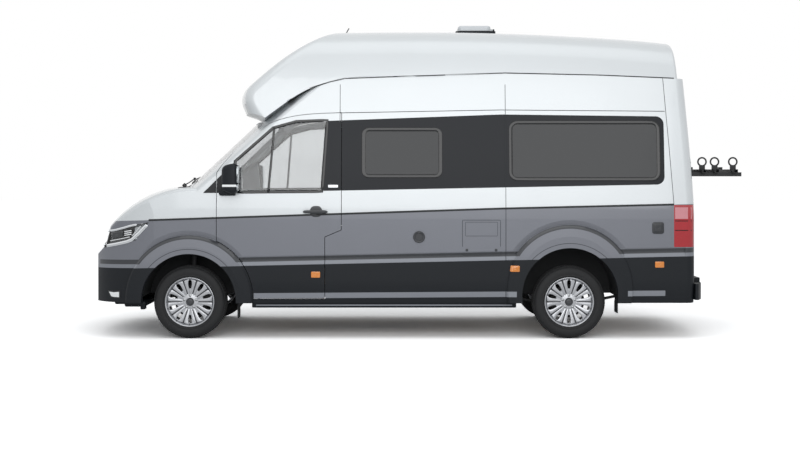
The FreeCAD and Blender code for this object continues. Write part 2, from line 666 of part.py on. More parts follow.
liners = []
for side in (LEFT, RIGHT):
    front_liner = arch_liner(*ARCHES[0], side)
    top = kingpin(side, strut_top)
    opening = Part.makeCylinder(72, 80, V(top.x, top.y, strut_top - 80))
    liners.append(front_liner.cut(opening).fuse(strut_tower(side)))
    liners.append(arch_liner(*ARCHES[1], side))
feature("wheel_arch_liners", Part.Compound(liners))

# Wheels. Each is made about its own hub, then set at its corner.
tyre_half = size("tyre_width") / 2
rim_radius = size("rim_radius")
rim_half = size("rim_width") / 2


def turn_profile(points, plane="XY"):
    face = Part.Face(polygon([to_plane(p, plane) for p in points]))
    return face.revolve(V(0, 0, 0), V(0, 1, 0), 360)


def tyre_shape():
    shoulder = wheel_radius - 12
    bead = rim_radius - 19
    bead_half = rim_half - 9
    outline = [(bead, bead_half), (rim_radius + 5, bead_half), (rim_radius + 9, rim_half + 4),
               (rim_radius + 42, tyre_half), (rim_radius + 70, tyre_half), (shoulder, tyre_half - 12),
               (wheel_radius, tyre_half - 34)]
    cavity = [(bead - 1, bead_half - 16), (rim_radius + 14, bead_half - 16), (rim_radius + 44, tyre_half - 14),
              (shoulder - 12, tyre_half - 24), (wheel_radius - 17, tyre_half - 46)]
    return turn_profile(mirrored(outline)).cut(turn_profile(mirrored(cavity)))


def mirrored(outline):
    """A profile drawn on its outboard side, with its inboard side added."""
    return outline + [(radius, -y) for radius, y in outline[::-1]]


def rim_shape(side):
    """A ten-spoke rim; its face is on the outboard side."""
    inner = rim_radius - 30
    well = rim_radius - 19 - size("seal_gap")
    ledge = rim_half - 9 + size("seal_gap")
    outline = [(inner, rim_half + 2), (rim_radius, rim_half + 2), (rim_radius, ledge), (well, ledge)]
    barrel = turn_profile(outline + [(well, -ledge), (rim_radius, -ledge), (rim_radius, -rim_half - 2),
                                     (inner, -rim_half - 2)])
    face_out = rim_half - size("wheel_face_inset") + 20
    plate = turn_profile([(size("hub_bore_radius"), face_out - 58), (size("hub_radius"), face_out - 58),
                          (size("hub_radius") + 14, face_out - 36), (inner + 2, face_out - 22),
                          (inner + 2, face_out), (size("hub_bore_radius"), face_out - 14)])
    count = int(size("spoke_count"))
    windows = []
    for index in range(count):
        wedge = rounded([(96, -9), (inner - 8, -34), (inner - 8, 34), (96, 9)], 7, "XY")
        window = Part.Face(wedge).extrude(V(0, 0, 300))
        window.translate(V(0, 0, -150))
        window.rotate(V(0, 0, 0), V(1, 0, 0), 90)
        window.rotate(V(0, 0, 0), V(0, 1, 0), 360 * (index + 0.5) / count)
        windows.append(window)
    bolts = []
    for index in range(5):
        angle = math.radians(360 * index / 5 + 90)
        centre = V(size("stud_circle") * math.cos(angle), -150, size("stud_circle") * math.sin(angle))
        bolts.append(Part.makeCylinder(size("wheel_stud_radius"), 300, centre, V(0, 1, 0)))
    rim = barrel.fuse(plate.cut(windows + bolts))
    return rim if side == RIGHT else rim.mirror(V(0, 0, 0), V(0, 1, 0))


CORNERS = [("front_left", 0, LEFT), ("front_right", 0, RIGHT),
           ("rear_left", wheelbase, LEFT), ("rear_right", wheelbase, RIGHT)]
rims = {side: rim_shape(side) for side in (LEFT, RIGHT)}
tyre = tyre_shape()
track = size("track_half")
for word, station, side in CORNERS:
    for label, shape in ((f"tyre_{word}", tyre), (f"rim_{word}", rims[side])):
        feature(label, shape.copy().translated(V(station, side * track, wheel_radius)))

# Knuckles carry the front wheels and turn with them; the struts are part of them.
hub_seat = track + rim_half - size("wheel_face_inset") + 20 - 58
brake_radius = size("brake_radius")


def across(side, start, end, radius, station=0, height=None):
    """A round bar across the van, from one distance off its middle to another."""
    z = wheel_radius if height is None else height
    return disc(station, z, radius, side * start, side * end)


def hub_and_disc(side, station):
    """The hub up to the wheel's seat, its spigot and the brake disc."""
    hub = across(side, hub_seat - 70, hub_seat, 62, station)
    spigot = across(side, hub_seat - 1, hub_seat + 30, size("hub_bore_radius") - size("axle_clearance"), station)
    brake = across(side, hub_seat - 62, hub_seat - 62 + size("brake_thickness"), brake_radius, station)
    return [hub, spigot, brake]


def knuckle(side):
    foot = kingpin(side, foot_height)
    shoulder = kingpin(side, 520)
    upright = rod(foot, shoulder, 30)
    carrier = across(side, kingpin(side, wheel_radius).y * side, hub_seat - 60, 50)
    strut = rod(kingpin(side, 470), kingpin(side, strut_top), strut_radius)
    y_caliper = side * (hub_seat - 62 + 13)
    caliper = box(118, 172, min(y_caliper - 34, y_caliper + 34), max(y_caliper - 34, y_caliper + 34), 310, 420)
    arm = box(20, 130, min(side * 745, side * 790), max(side * 745, side * 790), 320, 400)
    solids = [upright, carrier, strut, caliper, arm] + hub_and_disc(side, 0)
    return solids[0].fuse(solids[1:])


feature("knuckle_left", knuckle(LEFT))
feature("knuckle_right", knuckle(RIGHT))

# Under the body: rails, the suspension, the tank, the exhaust and the engine.
rail_half_spacing = size("rail_half_spacing")
rail_half_width = size("rail_width") / 2
rail_top = floor_bottom
rail_bottom = rail_top - size("rail_height")
engine_half_width = 300


def rails():
    solids = []
    for side in (LEFT, RIGHT):
        y = side * rail_half_spacing
        solids.append(box(nose + 90, tail_face - wall - 5, y - rail_half_width, y + rail_half_width,
                          rail_bottom, rail_top))
    for station in (nose + 90, 620, 1180, 2200, 3200, 4400):
        solids.append(box(station, station + 60, -rail_half_spacing, rail_half_spacing, rail_bottom + 20,
                          rail_top - 10))
    beam = inside_space.common(box(nose + 40, nose + 100, -620, 620, rail_bottom, rail_top))
    for side in (LEFT, RIGHT):
        solids.append(box(-560, -440, min(side * engine_half_width, side * rail_half_spacing),
                          max(side * engine_half_width, side * rail_half_spacing), rail_bottom + 20, rail_top - 20))
    return solids[0].fuse(solids[1:] + [beam])


feature("chassis_rails", rails())


def front_suspension():
    """The crossmember under the engine, with a lower arm out to each steering foot."""
    member = box(-150, 150, -460, 460, 215, 275)
    legs = [box(-60, 60, side * rail_half_spacing - 30, side * rail_half_spacing + 30, 250, rail_bottom)
            for side in (LEFT, RIGHT)]
    arms = []
    for side in (LEFT, RIGHT):
        foot = kingpin(side, foot_height)
        arms.append(arm_plate(side, foot))
    return member.fuse(legs + arms)


def arm_plate(side, foot):
    """A flat arm that narrows towards the steering foot and ends in the ball joint's cup."""
    low = foot_height - 36
    outline = [(-130, side * 320), (-30, side * (abs(foot.y) - 60)), (-30, foot.y), (30, foot.y),
               (30, side * (abs(foot.y) - 60)), (130, side * 320)]
    plate = Part.Face(polygon([(x, y, low) for x, y in outline])).extrude(V(0, 0, 24))
    riser = box(-130, 130, side * 330 - 20, side * 330 + 20, low, 260)
    cup = Part.makeCylinder(30, 30, V(foot.x, foot.y, low))
    return plate.fuse([riser, cup])


feature("front_suspension", front_suspension())


def rear_axle():
    beam = disc(wheelbase, wheel_radius, 45, -(hub_seat - 40), hub_seat - 40)
    ends = []
    for side in (LEFT, RIGHT):
        ends += hub_and_disc(side, wheelbase)
    return beam.fuse(ends)


feature("rear_axle", rear_axle())


def leaf_spring(side):
    """A flat spring, bowed down to pass under the axle, with a hanger at each end."""
    reach = 640
    y = side * rail_half_spacing
    sag = wheel_radius - 45 - 20
    ends = rail_bottom - 34
    bottom = Part.Arc(V(wheelbase - reach, 0, ends), V(wheelbase, 0, sag),
                      V(wheelbase + reach, 0, ends)).toShape()
    top = Part.Arc(V(wheelbase + reach, 0, ends + 20), V(wheelbase, 0, sag + 20),
                   V(wheelbase - reach, 0, ends + 20)).toShape()
    sides = [Part.makeLine(V(wheelbase + reach, 0, ends), V(wheelbase + reach, 0, ends + 20)),
             Part.makeLine(V(wheelbase - reach, 0, ends + 20), V(wheelbase - reach, 0, ends))]
    face = Part.Face(Part.Wire([bottom, sides[0], top, sides[1]]))
    face.translate(V(0, y - 35, 0))
    leaf = face.extrude(V(0, 70, 0))
    hangers = [box(x - 30, x + 30, y - 30, y + 30, ends + 10, rail_bottom)
               for x in (wheelbase - reach + 30, wheelbase + reach - 30)]
    return leaf.fuse(hangers)


feature("leaf_springs", Part.Compound([leaf_spring(side) for side in (LEFT, RIGHT)]))


def boxed(label, station, y, z, length, width, height, radius):
    """A plain block with rounded upright edges, its sizes held by the document."""
    block = doc.addObject("Part::Box", label + "_block")
    block.Length = length
    block.Width = width
    block.Height = height
    block.Placement.Base = V(station, y, z)
    rounding = doc.addObject("Part::Fillet", label)
    rounding.Base = block
    doc.recompute()
    rounding.Edges = [(i + 1, radius, radius) for i, e in enumerate(block.Shape.Edges)
                      if e.BoundBox.ZLength > height - 1]
    return place(rounding, label)


boxed("fuel_tank", 1250, -380, floor_bottom - 180, 900, 360 * 2 + 20, 180, 60)
boxed("engine_block", -780, -engine_half_width, 330, 560, 2 * engine_half_width, 560, 40)


def exhaust():
    silencer = Part.makeCylinder(85, 620, V(2300, 620, floor_bottom - 100), V(1, 0, 0))
    pipe = Part.makeCylinder(28, 420, V(1900, 620, floor_bottom - 100), V(1, 0, 0))
    outlet = Part.makeCylinder(28, 260, V(2900, 620, floor_bottom - 100), V(0.94, 0, -0.34))
    straps = [box(x, x + 30, 605, 635, floor_bottom - 40, floor_bottom) for x in (2360, 2820)]
    return silencer.fuse([pipe, outlet] + straps)


feature("exhaust", exhaust())


def mudflaps():
    """Flaps behind the wheels, hung from the liners."""
    flaps = []
    for side in (LEFT, RIGHT):
        for station, height, radius in ARCHES:
            x = station + radius + 3
            low = 190 if station == 0 else 240
            flap = box(x, x + 10, min(side * 780, side * 935), max(side * 780, side * 935), low, 440)
            flaps.append(flap.cut(disc(station, height, radius + 3 + arch_skin, side * 700, side * 1000)))
    return Part.Compound(flaps)


feature("mudflaps", mudflaps())

# The cab inside: dashboard, steering wheel and seats.
def dashboard():
    outline = [(bulkhead_station, 1400), (120, 1395), (330, 1330), (395, 1240), (330, 1120), (300, 900),
               (bulkhead_station, 900)]
    face = Part.Face(side_wire(outline))
    face.translate(V(0, -925, 0))
    body = face.extrude(V(0, 1850, 0)).common(inside_space).cut(arch_room)
    tilt = math.radians(25)
    hub = steering_hub()
    way = V(-math.cos(tilt), 0, -math.sin(tilt))
    column = Part.makeCylinder(32, 260, hub + way * 45, way)
    return body.fuse(column.common(box(-100, 700, -700, -200, 900, 1400)))


def steering_hub():
    return V(size("steering_wheel_station"), -size("seat_offset"), size("steering_wheel_height"))


def steering_wheel():
    """A rim with three spokes and a padded hub, made flat and then tilted towards the driver."""
    radius = size("steering_wheel_radius")
    thick = size("steering_rim_radius")
    rim = Part.makeTorus(radius, thick)
    hub = Part.makeCylinder(58, 40, V(0, 0, -28))
    hub = hub.makeFillet(10, [hub.Edges[0]])
    spokes = []
    for angle in (180, 0, 270):
        spoke = Part.makeBox(radius, 34, 12, V(0, -17, -8))
        spoke.rotate(V(0, 0, 0), V(0, 0, 1), angle)
        spokes.append(spoke)
    stub = Part.makeCylinder(20, 16, V(0, 0, -44.5))
    wheel = rim.fuse([hub, stub] + spokes)
    wheel.rotate(V(0, 0, 0), V(0, 0, 1), -90)
    wheel.rotate(V(0, 0, 0), V(0, 1, 0), 65)
    wheel.translate(steering_hub())
    return wheel


def seat(side):
    """A front seat on its swivel base: cushion, leaning back, headrest and a closed pedestal."""
    y = side * size("seat_offset")
    half = size("seat_width") / 2
    top = size("seat_height")
    base = box(880, 1260, y - 190, y + 190, floor_top, top - 150)
    cushion = box(800, 1330, y - half, y + half, top - 150, top)
    cushion = cushion.makeFillet(45, [e for e in cushion.Edges])
    back_line = [(1190, top - 60), (1320, top - 60), (1470, 1490), (1385, 1500)]
    back = Part.Face(rounded(back_line, 30, "XZ"))
    back.translate(V(0, y - half + 15, 0))
    back = back.extrude(V(0, 2 * half - 30, 0))
    posts = [box(1425, 1440, y + offset - 6, y + offset + 6, 1470, 1560) for offset in (-70, 70)]
    rest = box(1395, 1475, y - 130, y + 130, 1530, 1700)
    rest = rest.makeFillet(30, rest.Edges)
    return base.fuse([cushion, back, rest] + posts)


feature("dashboard", dashboard())
feature("steering_wheel", steering_wheel())
feature("seats", Part.Compound([seat(LEFT), seat(RIGHT)]))


def kitchen_unit():
    """A low cupboard that stands on the floor against the right-hand wall."""
    side = box(1800, 2950, 480, 1300, floor_top, 1480).common(inside_space)
    doors_line = [box(x, x + 4, 470, 484, floor_top + 40, 1420) for x in (2080, 2370, 2660)]
    return side.cut(doors_line)


def bench():
    base = box(1640, 2200, -1300, -420, floor_top, 960).common(inside_space)
    back = box(2130, 2200, -1300, -420, 900, 1440).common(inside_space)
    return base.fuse(back)


def bed():
    """A raised bed across the tail, on two boxes beside the rear wheel arches."""
    mattress = box(3150, 4640, -1300, 1300, 1010, 1150).common(inside_space)
    base = box(3150, 4640, -1300, 1300, 960, 1010).common(inside_space)
    legs = [box(3150, 4640, -480, -440, floor_top, 960), box(3150, 4640, 440, 480, floor_top, 960)]
    return base.fuse([mattress] + legs)


feature("kitchen_unit", kitchen_unit())
feature("bench_seat", bench())
feature("bed", bed())


# Outside fittings: mirrors, the cycle carrier, the skylight and the antenna.
def mirror(side):
    reach = size("mirror_reach")
    head = rounded([(345, 1361), (480, 1385), (490, 1665), (400, 1684), (335, 1560)], 35, "XZ")
    face = Part.Face(head)
    face.translate(V(0, side * 1050, 0))
    shell_shape = face.extrude(V(0, side * (reach - 1050), 0))
    outer_edges = [e for e in shell_shape.Edges if abs(abs(e.BoundBox.YMin) - reach) < 1
                   and abs(abs(e.BoundBox.YMax) - reach) < 1]
    shell_shape = shell_shape.makeFillet(22, outer_edges)
    arm = box(350, 430, min(side * 930, side * 1060), max(side * 930, side * 1060), 1400, 1470)
    foot_zone = side_prism(side_wire([(282, 1405), (440, 1405), (420, 1560), (300, 1520)]), side, 0, 900)
    foot = form(-12).common(foot_zone).cut(plain_form)
    return shell_shape.fuse([arm.cut(plain_form), foot])


feature("mirror_left", mirror(LEFT))
feature("mirror_right", mirror(RIGHT))
carrier_z = size("carrier_height")
carrier_middle = -(size("rear_door_half_width") + 20) / 2


def bike_carrier():
    """Two arms off the left rear door and three cross rails, each with a hoop, its clamp and a wheel cradle."""
    solids = []
    half = size("carrier_rail_length") / 2
    for offset in (-260, 260):
        y = carrier_middle + offset
        foot = box(tail_face - 60, tail_face + 30, y - 25, y + 25, 1450, 1700).cut(plain_form)
        arm = box(tail_face + 10, carrier_end, y - 16, y + 16, carrier_z - 45, carrier_z - 5)
        solids += [foot, arm]
    for station in (4987, 5110, 5290):
        rail = box(station - 22, station + 22, carrier_middle - half, carrier_middle + half, carrier_z - 12,
                   carrier_z + 24)
        channel = box(station - 16, station + 16, carrier_middle - half - 5, carrier_middle + half + 5,
                      carrier_z - 6, carrier_z + 30)
        solids.append(rail.cut(channel))
        near = carrier_middle - 250
        hoop = Part.makeTorus(40, 8, V(station, near, carrier_z + 98), V(0, 1, 0))
        clamp = box(station - 26, station + 26, near - 16, near + 16, carrier_z - 8, carrier_z + 66)
        cradle = box(station - 20, station + 20, carrier_middle + 225, carrier_middle + 275, carrier_z - 8,
                     carrier_z + 48)
        solids += [hoop, clamp, cradle]
    return solids[0].fuse(solids[1:])


feature("bike_carrier", bike_carrier())


# The skylight: a frame on the roof's hole and a domed lid hinged along its rear edge.
hatch_x = size("hatch_station")
hatch_front = hatch_x - size("hatch_length") / 2
hatch_rear = hatch_x + size("hatch_length") / 2
hatch_half = size("hatch_width") / 2
pin_x = size("hatch_pin_station")
pin_z = size("hatch_pin_height")
pin_radius = 8
flange_top = pin_z - 20
lid_foot = flange_top + gap


def skylight_frame():
    ring = box(hatch_front - 24, pin_x + 15, -hatch_half - 24, hatch_half + 24,
               flange_top - 92, flange_top)
    ring = ring.makeFillet(30, [e for e in ring.Edges if e.BoundBox.ZLength > 80])
    ring = ring.cut([hatch_room, cap_outer])
    lugs = []
    for y in (-150, 130 + size("seal_gap")):
        width = 20 - size("seal_gap")
        lugs.append(box(pin_x - pin_radius, pin_x + pin_radius, y, y + width, flange_top - 4, pin_z))
        lugs.append(Part.makeCylinder(pin_radius, width, V(pin_x, y, pin_z), V(0, 1, 0)))
    return ring.fuse(lugs)


def skylight_lid():
    lid = box(hatch_front, hatch_rear, -hatch_half, hatch_half, lid_foot, size("hatch_top"))
    lid = lid.makeFillet(40, [e for e in lid.Edges if e.BoundBox.ZLength > 40])
    lid = lid.makeFillet(22, [e for e in lid.Edges if e.BoundBox.ZMin > size("hatch_top") - 1])
    hollow = box(hatch_front + 14, hatch_rear - 14, -hatch_half + 14, hatch_half - 14, lid_foot - 10,
                 size("hatch_top") - 14)
    hollow = hollow.makeFillet(28, [e for e in hollow.Edges if e.BoundBox.ZLength > 40])
    arms = []
    for y in (-130, 100):
        arms.append(box(hatch_rear - 10, pin_x, y, y + 30, pin_z - pin_radius, pin_z + pin_radius))
        arms.append(Part.makeCylinder(pin_radius, 30, V(pin_x, y, pin_z), V(0, 1, 0)))
    return lid.cut(hollow).fuse(arms)


feature("skylight_frame", skylight_frame())
feature("skylight_lid", skylight_lid())


def antenna():
    foot = V(1430, 0, 2982)
    rod_shape = rod(foot, foot + V(60, 0, size("antenna_length")), 5)
    base = Part.makeCylinder(22, 40, foot + V(0, 0, -10))
    return base.fuse(rod_shape).cut(cap_outer)


feature("antenna", antenna())
doc.recompute()
for label, obj in nodes.items():
    state = set(obj.State)
    if state & {"Invalid", "Error"} or obj.Shape.isNull() or not obj.Shape.isValid() or not obj.Shape.Solids:
        raise RuntimeError(f"{label} did not build: {obj.State}")
os.makedirs("parts", exist_ok=True)
for label, obj in nodes.items():
    obj.Shape.exportStep(f"parts/{label}.step")
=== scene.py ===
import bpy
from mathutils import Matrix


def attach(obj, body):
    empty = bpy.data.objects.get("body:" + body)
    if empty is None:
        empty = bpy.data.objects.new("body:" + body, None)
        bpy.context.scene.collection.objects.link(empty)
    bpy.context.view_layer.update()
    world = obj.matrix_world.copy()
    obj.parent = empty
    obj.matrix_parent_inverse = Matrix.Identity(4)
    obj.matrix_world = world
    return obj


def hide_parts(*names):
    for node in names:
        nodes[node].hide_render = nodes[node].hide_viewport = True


bl_info = {
    "name": "Camper Van",
    "version": (1, 0, 0),
    "blender": (4, 5, 0),
    "location": "View3D > Sidebar > Camper Van",
    "description": "Dresses the camper van's frame with paint, glass, lamps, wheels, trim and a cabin",
    "category": "Object",
}

import math

import bmesh
import bpy
from mathutils import Matrix, Vector
from mathutils.bvhtree import BVHTree

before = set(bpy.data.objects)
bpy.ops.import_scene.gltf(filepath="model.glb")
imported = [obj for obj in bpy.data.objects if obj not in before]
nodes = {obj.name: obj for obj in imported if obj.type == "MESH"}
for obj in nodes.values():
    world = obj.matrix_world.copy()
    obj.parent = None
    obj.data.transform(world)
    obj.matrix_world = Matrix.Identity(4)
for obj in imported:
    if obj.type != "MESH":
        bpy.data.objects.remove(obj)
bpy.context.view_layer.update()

# The front axle stands this far ahead of the frame's origin, and stations are measured back from it.
FRONT_AXLE = -2.179
LEFT, RIGHT = -1, 1
SIDES = ((LEFT, "left"), (RIGHT, "right"))
WHEELBASE, HALF_TRACK, WHEEL_RADIUS = 3.640, 0.868, 0.350
PAINTED = ["front_wings", "cab_frame", "side_wall_left", "side_wall_right", "sliding_door", "rear_frame",
           "cab_door_left", "cab_door_right", "rear_door_left", "rear_door_right", "bonnet", "roof_cap",
           "front_bumper"]
PANELS = PAINTED + ["rear_bumper", "tail_lamps", "headlamps", "grille"]
GLASS = ["windscreen", "camper_windows", "cab_door_glass_left", "cab_door_glass_right",
         "rear_door_glass_left", "rear_door_glass_right"]
# The belt line as two straight lines, each a slope and a start, of which the lower one counts: it rises less
# behind the middle of the van.
BELT = ((0.0330, 1.150), (0.0233, 1.179))


def linear(code):
    """An sRGB hex colour as linear red, green and blue."""
    parts = [int(code[i:i + 2], 16) / 255 for i in (0, 2, 4)]
    return tuple(c / 12.92 if c <= 0.04045 else ((c + 0.055) / 1.055) ** 2.4 for c in parts)


def opaque(colour):
    """A colour with full opacity."""
    return (*colour, 1.0)


def at(station, y, z):
    """A point of the van from its station, in metres behind the front axle."""
    return Vector((station + FRONT_AXLE, y, z))


# Materials.

def add(tree, kind, feeds=None, **settings):
    """Adds one node with its settings, and feeds its inputs with numbers, nodes or their outputs."""
    made = tree.nodes.new(kind)
    for key, value in settings.items():
        setattr(made, key, value)
    for key, value in (feeds or {}).items():
        if isinstance(value, bpy.types.Node):
            value = value.outputs[0]
        if isinstance(value, bpy.types.NodeSocket):
            tree.links.new(value, made.inputs[key])
        else:
            made.inputs[key].default_value = value
    return made


def fresh(name):
    """An empty node material and its tree, with the output node that its shader goes to."""
    material = bpy.data.materials.new(name)
    material.use_nodes = True
    material.node_tree.nodes.clear()
    return material, material.node_tree


def output(tree, shader):
    """Ends a material's tree in a shader."""
    add(tree, "ShaderNodeOutputMaterial", {"Surface": shader})


def spread(tree, colour, amount, noise):
    """The colour a little darker and lighter by turns, as a noise pattern says."""
    dark = opaque([c * (1 - amount) for c in colour])
    light = opaque([min(c * (1 + amount), 1) for c in colour])
    return add(tree, "ShaderNodeMix", {"Factor": noise.outputs[0], "A": dark, "B": light},
               data_type="RGBA").outputs["Result"]


def grained(name, colour, roughness, grain, depth, vary=0.06, **sockets):
    """A finish with a fine grain: grain is its size and depth its height, both in millimetres."""
    material, tree = fresh(name)
    place = add(tree, "ShaderNodeTexCoord")
    noise = add(tree, "ShaderNodeTexNoise", {"Vector": place.outputs["Object"], "Scale": 1000 / grain,
                                             "Detail": 2.0})
    broad = add(tree, "ShaderNodeTexNoise", {"Vector": place.outputs["Object"], "Scale": 6.0, "Detail": 3.0})
    bump = add(tree, "ShaderNodeBump", {"Height": noise.outputs[0], "Distance": depth / 1000, "Strength": 1.0})
    rough = add(tree, "ShaderNodeMapRange", {"Value": broad.outputs[0], "To Min": max(roughness - 0.05, 0.02),
                                             "To Max": min(roughness + 0.05, 1.0)})
    feeds = {"Base Color": spread(tree, colour, vary, broad), "Roughness": rough, "Normal": bump}
    feeds.update({key.replace("_", " "): value for key, value in sockets.items()})
    output(tree, add(tree, "ShaderNodeBsdfPrincipled", feeds))
    return material


def inside(tree, value, low, high):
    """One where a value lies between two limits, and nothing elsewhere."""
    over = add(tree, "ShaderNodeMath", {0: value, 1: low}, operation="GREATER_THAN")
    under = add(tree, "ShaderNodeMath", {0: value, 1: high}, operation="LESS_THAN")
    return add(tree, "ShaderNodeMath", {0: over, 1: under}, operation="MULTIPLY")


def all_of(tree, *masks):
    """One where every mask is one."""
    result = masks[0]
    for mask in masks[1:]:
        result = add(tree, "ShaderNodeMath", {0: result, 1: mask}, operation="MULTIPLY")
    return result


def any_of(tree, *masks):
    """One where at least one mask is one."""
    result = masks[0]
    for mask in masks[1:]:
        result = add(tree, "ShaderNodeMath", {0: result, 1: mask}, operation="MAXIMUM")
    return result


def sloped(tree, along, slope, start):
    """The value of a straight line: start, plus slope for each metre along."""
    return add(tree, "ShaderNodeMath", {0: along, 1: slope, 2: start}, operation="MULTIPLY_ADD")


def body_paint(paint):
    """Two-coat paint in two colours, split by the belt line, over moulded cladding, with the joints' shadows,
    painted shade on the crease and arch lips, and painted highlights under the crease and on the sill.
    """
    material, tree = fresh("two_coat_paint_and_cladding")
    place = add(tree, "ShaderNodeTexCoord").outputs["Object"]
    parts = add(tree, "ShaderNodeSeparateXYZ", {0: place})
    station = add(tree, "ShaderNodeMath", {0: parts.outputs["X"], 1: FRONT_AXLE}, operation="SUBTRACT")
    side = add(tree, "ShaderNodeMath", {0: parts.outputs["Y"]}, operation="ABSOLUTE")
    height = parts.outputs["Z"]

    belt = add(tree, "ShaderNodeMath", {i: sloped(tree, station, *line) for i, line in enumerate(BELT)},
               operation="MINIMUM")
    over_belt = add(tree, "ShaderNodeMath", {0: height, 1: belt}, operation="SUBTRACT")
    lower = add(tree, "ShaderNodeMath", {0: over_belt, 1: 0.0}, operation="LESS_THAN")
    belt_line = all_of(tree, inside(tree, over_belt, -0.006, 0.006), inside(tree, station, -0.385, 4.632),
                       inside(tree, side, 0.80, 2.0))

    # Cladding runs round the van below a line that rises slightly to the rear.
    clad_edge = sloped(tree, station, 0.0215, 0.690)
    over_clad = add(tree, "ShaderNodeMath", {0: height, 1: clad_edge}, operation="SUBTRACT")
    clad = add(tree, "ShaderNodeMath", {0: over_clad, 1: 0.0}, operation="LESS_THAN")

    # The dark band that joins the side windows, with its rear corners rounded.
    band_top = add(tree, "ShaderNodeMath", {0: sloped(tree, station, 0.0372, 2.039),
                                            1: sloped(tree, station, -0.0123, 2.187)}, operation="MINIMUM")
    band_foot = sloped(tree, station, 0.0190, 1.392)
    corner = 0.075
    over = add(tree, "ShaderNodeMath", {0: height, 1: band_top}, operation="SUBTRACT")
    below = add(tree, "ShaderNodeMath", {0: band_foot, 1: height}, operation="SUBTRACT")
    tall = add(tree, "ShaderNodeMath", {0: over, 1: below}, operation="MAXIMUM")
    tall = add(tree, "ShaderNodeMath", {0: tall, 1: corner}, operation="ADD")
    long = add(tree, "ShaderNodeMath", {0: station, 1: 4.546 - corner}, operation="SUBTRACT")
    outward = add(tree, "ShaderNodeCombineXYZ", {
        "X": add(tree, "ShaderNodeMath", {0: long, 1: 0.0}, operation="MAXIMUM"),
        "Y": add(tree, "ShaderNodeMath", {0: tall, 1: 0.0}, operation="MAXIMUM")})
    reach = add(tree, "ShaderNodeVectorMath", {0: outward}, operation="LENGTH").outputs["Value"]
    in_band = add(tree, "ShaderNodeMath", {0: reach, 1: corner}, operation="LESS_THAN")
    band = all_of(tree, in_band, inside(tree, station, 1.285, 4.6), inside(tree, side, 0.80, 2.0))

    # Joints between fixed panels, each a few millimetres wide.
    pillar = sloped(tree, height, -0.0702, 4.7221)
    behind_pillar = add(tree, "ShaderNodeMath", {0: station, 1: pillar}, operation="SUBTRACT")
    gutter = add(tree, "ShaderNodeMath", {0: sloped(tree, station, 0.0183, 2.1386),
                                          1: sloped(tree, station, -0.0080, 2.2170)}, operation="MINIMUM")
    over_gutter = add(tree, "ShaderNodeMath", {0: height, 1: gutter}, operation="SUBTRACT")
    on_side = inside(tree, side, 0.72, 2.0)
    joints = any_of(
        tree,
        all_of(tree, inside(tree, behind_pillar, -0.0025, 0.0025), inside(tree, height, 1.283, 2.509), on_side),
        all_of(tree, inside(tree, over_gutter, -0.003, 0.003), inside(tree, station, 1.442, 4.56), on_side),
        all_of(tree, inside(tree, station, 3.0255, 3.0305), inside(tree, height, 0.345, 2.44), on_side),
        all_of(tree, inside(tree, station, 1.4395, 1.4445), inside(tree, height, 2.05, 2.44), on_side))

    # A crease runs along the side above the cladding and climbs round each flare, and a lip edges each arch. The
    # crease's upper face, each flare's chamfer and a thin line on each lip are painted shade, and the face under
    # the crease is a painted highlight.
    flank = inside(tree, side, 0.78, 2.0)
    reaches = []
    for axle, flare_height, arch_height, lip in ((0.0, 0.380, 0.364, 0.496), (WHEELBASE, 0.480, 0.414, 0.502)):
        from_axle = add(tree, "ShaderNodeMath", {0: station, 1: axle}, operation="SUBTRACT")
        for centre in (flare_height, arch_height):
            up = add(tree, "ShaderNodeMath", {0: height, 1: centre}, operation="SUBTRACT")
            pair = add(tree, "ShaderNodeCombineXYZ", {"X": from_axle, "Y": up})
            reaches.append(add(tree, "ShaderNodeVectorMath", {0: pair}, operation="LENGTH").outputs["Value"])
        reaches[-1] = inside(tree, reaches[-1], lip - 0.003, lip + 0.003)
    flare_reach = add(tree, "ShaderNodeMath", {0: reaches[0], 1: reaches[2]}, operation="MINIMUM")
    # Painted shade: a thin dark line along each arch's lip, in the crease's shade colour.
    lips = all_of(tree, any_of(tree, reaches[1], reaches[3]), inside(tree, over_clad, 0.0, 0.5), flank)
    outside_flare = inside(tree, flare_reach, 0.590, 9.0)
    # Painted shade: the crease's upper face and the chamfer round each flare, coloured dark as if in shade.
    crease_shade = all_of(tree, lower, flank, any_of(
        tree, all_of(tree, inside(tree, over_clad, 0.036, 0.080), outside_flare),
        all_of(tree, inside(tree, flare_reach, 0.576, 0.612), inside(tree, over_clad, 0.036, 0.6))))
    # Painted highlight: the face under the crease, coloured lighter as if lit.
    ledge_highlight = all_of(tree, inside(tree, over_clad, 0.0, 0.036), outside_flare, flank)

    # The sill's upper face is painted lighter between the wheels and behind the rear one: a painted highlight of
    # the light that it catches there.
    sill_top = sloped(tree, station, 0.0065, 0.436)
    sill_foot = sloped(tree, station, 0.0065, 0.384)
    sill_highlight = all_of(tree, inside(tree, height, sill_foot, sill_top), inside(tree, side, 0.90, 2.0),
                  any_of(tree, inside(tree, station, 0.62, 3.13), inside(tree, station, 4.19, 4.55)))

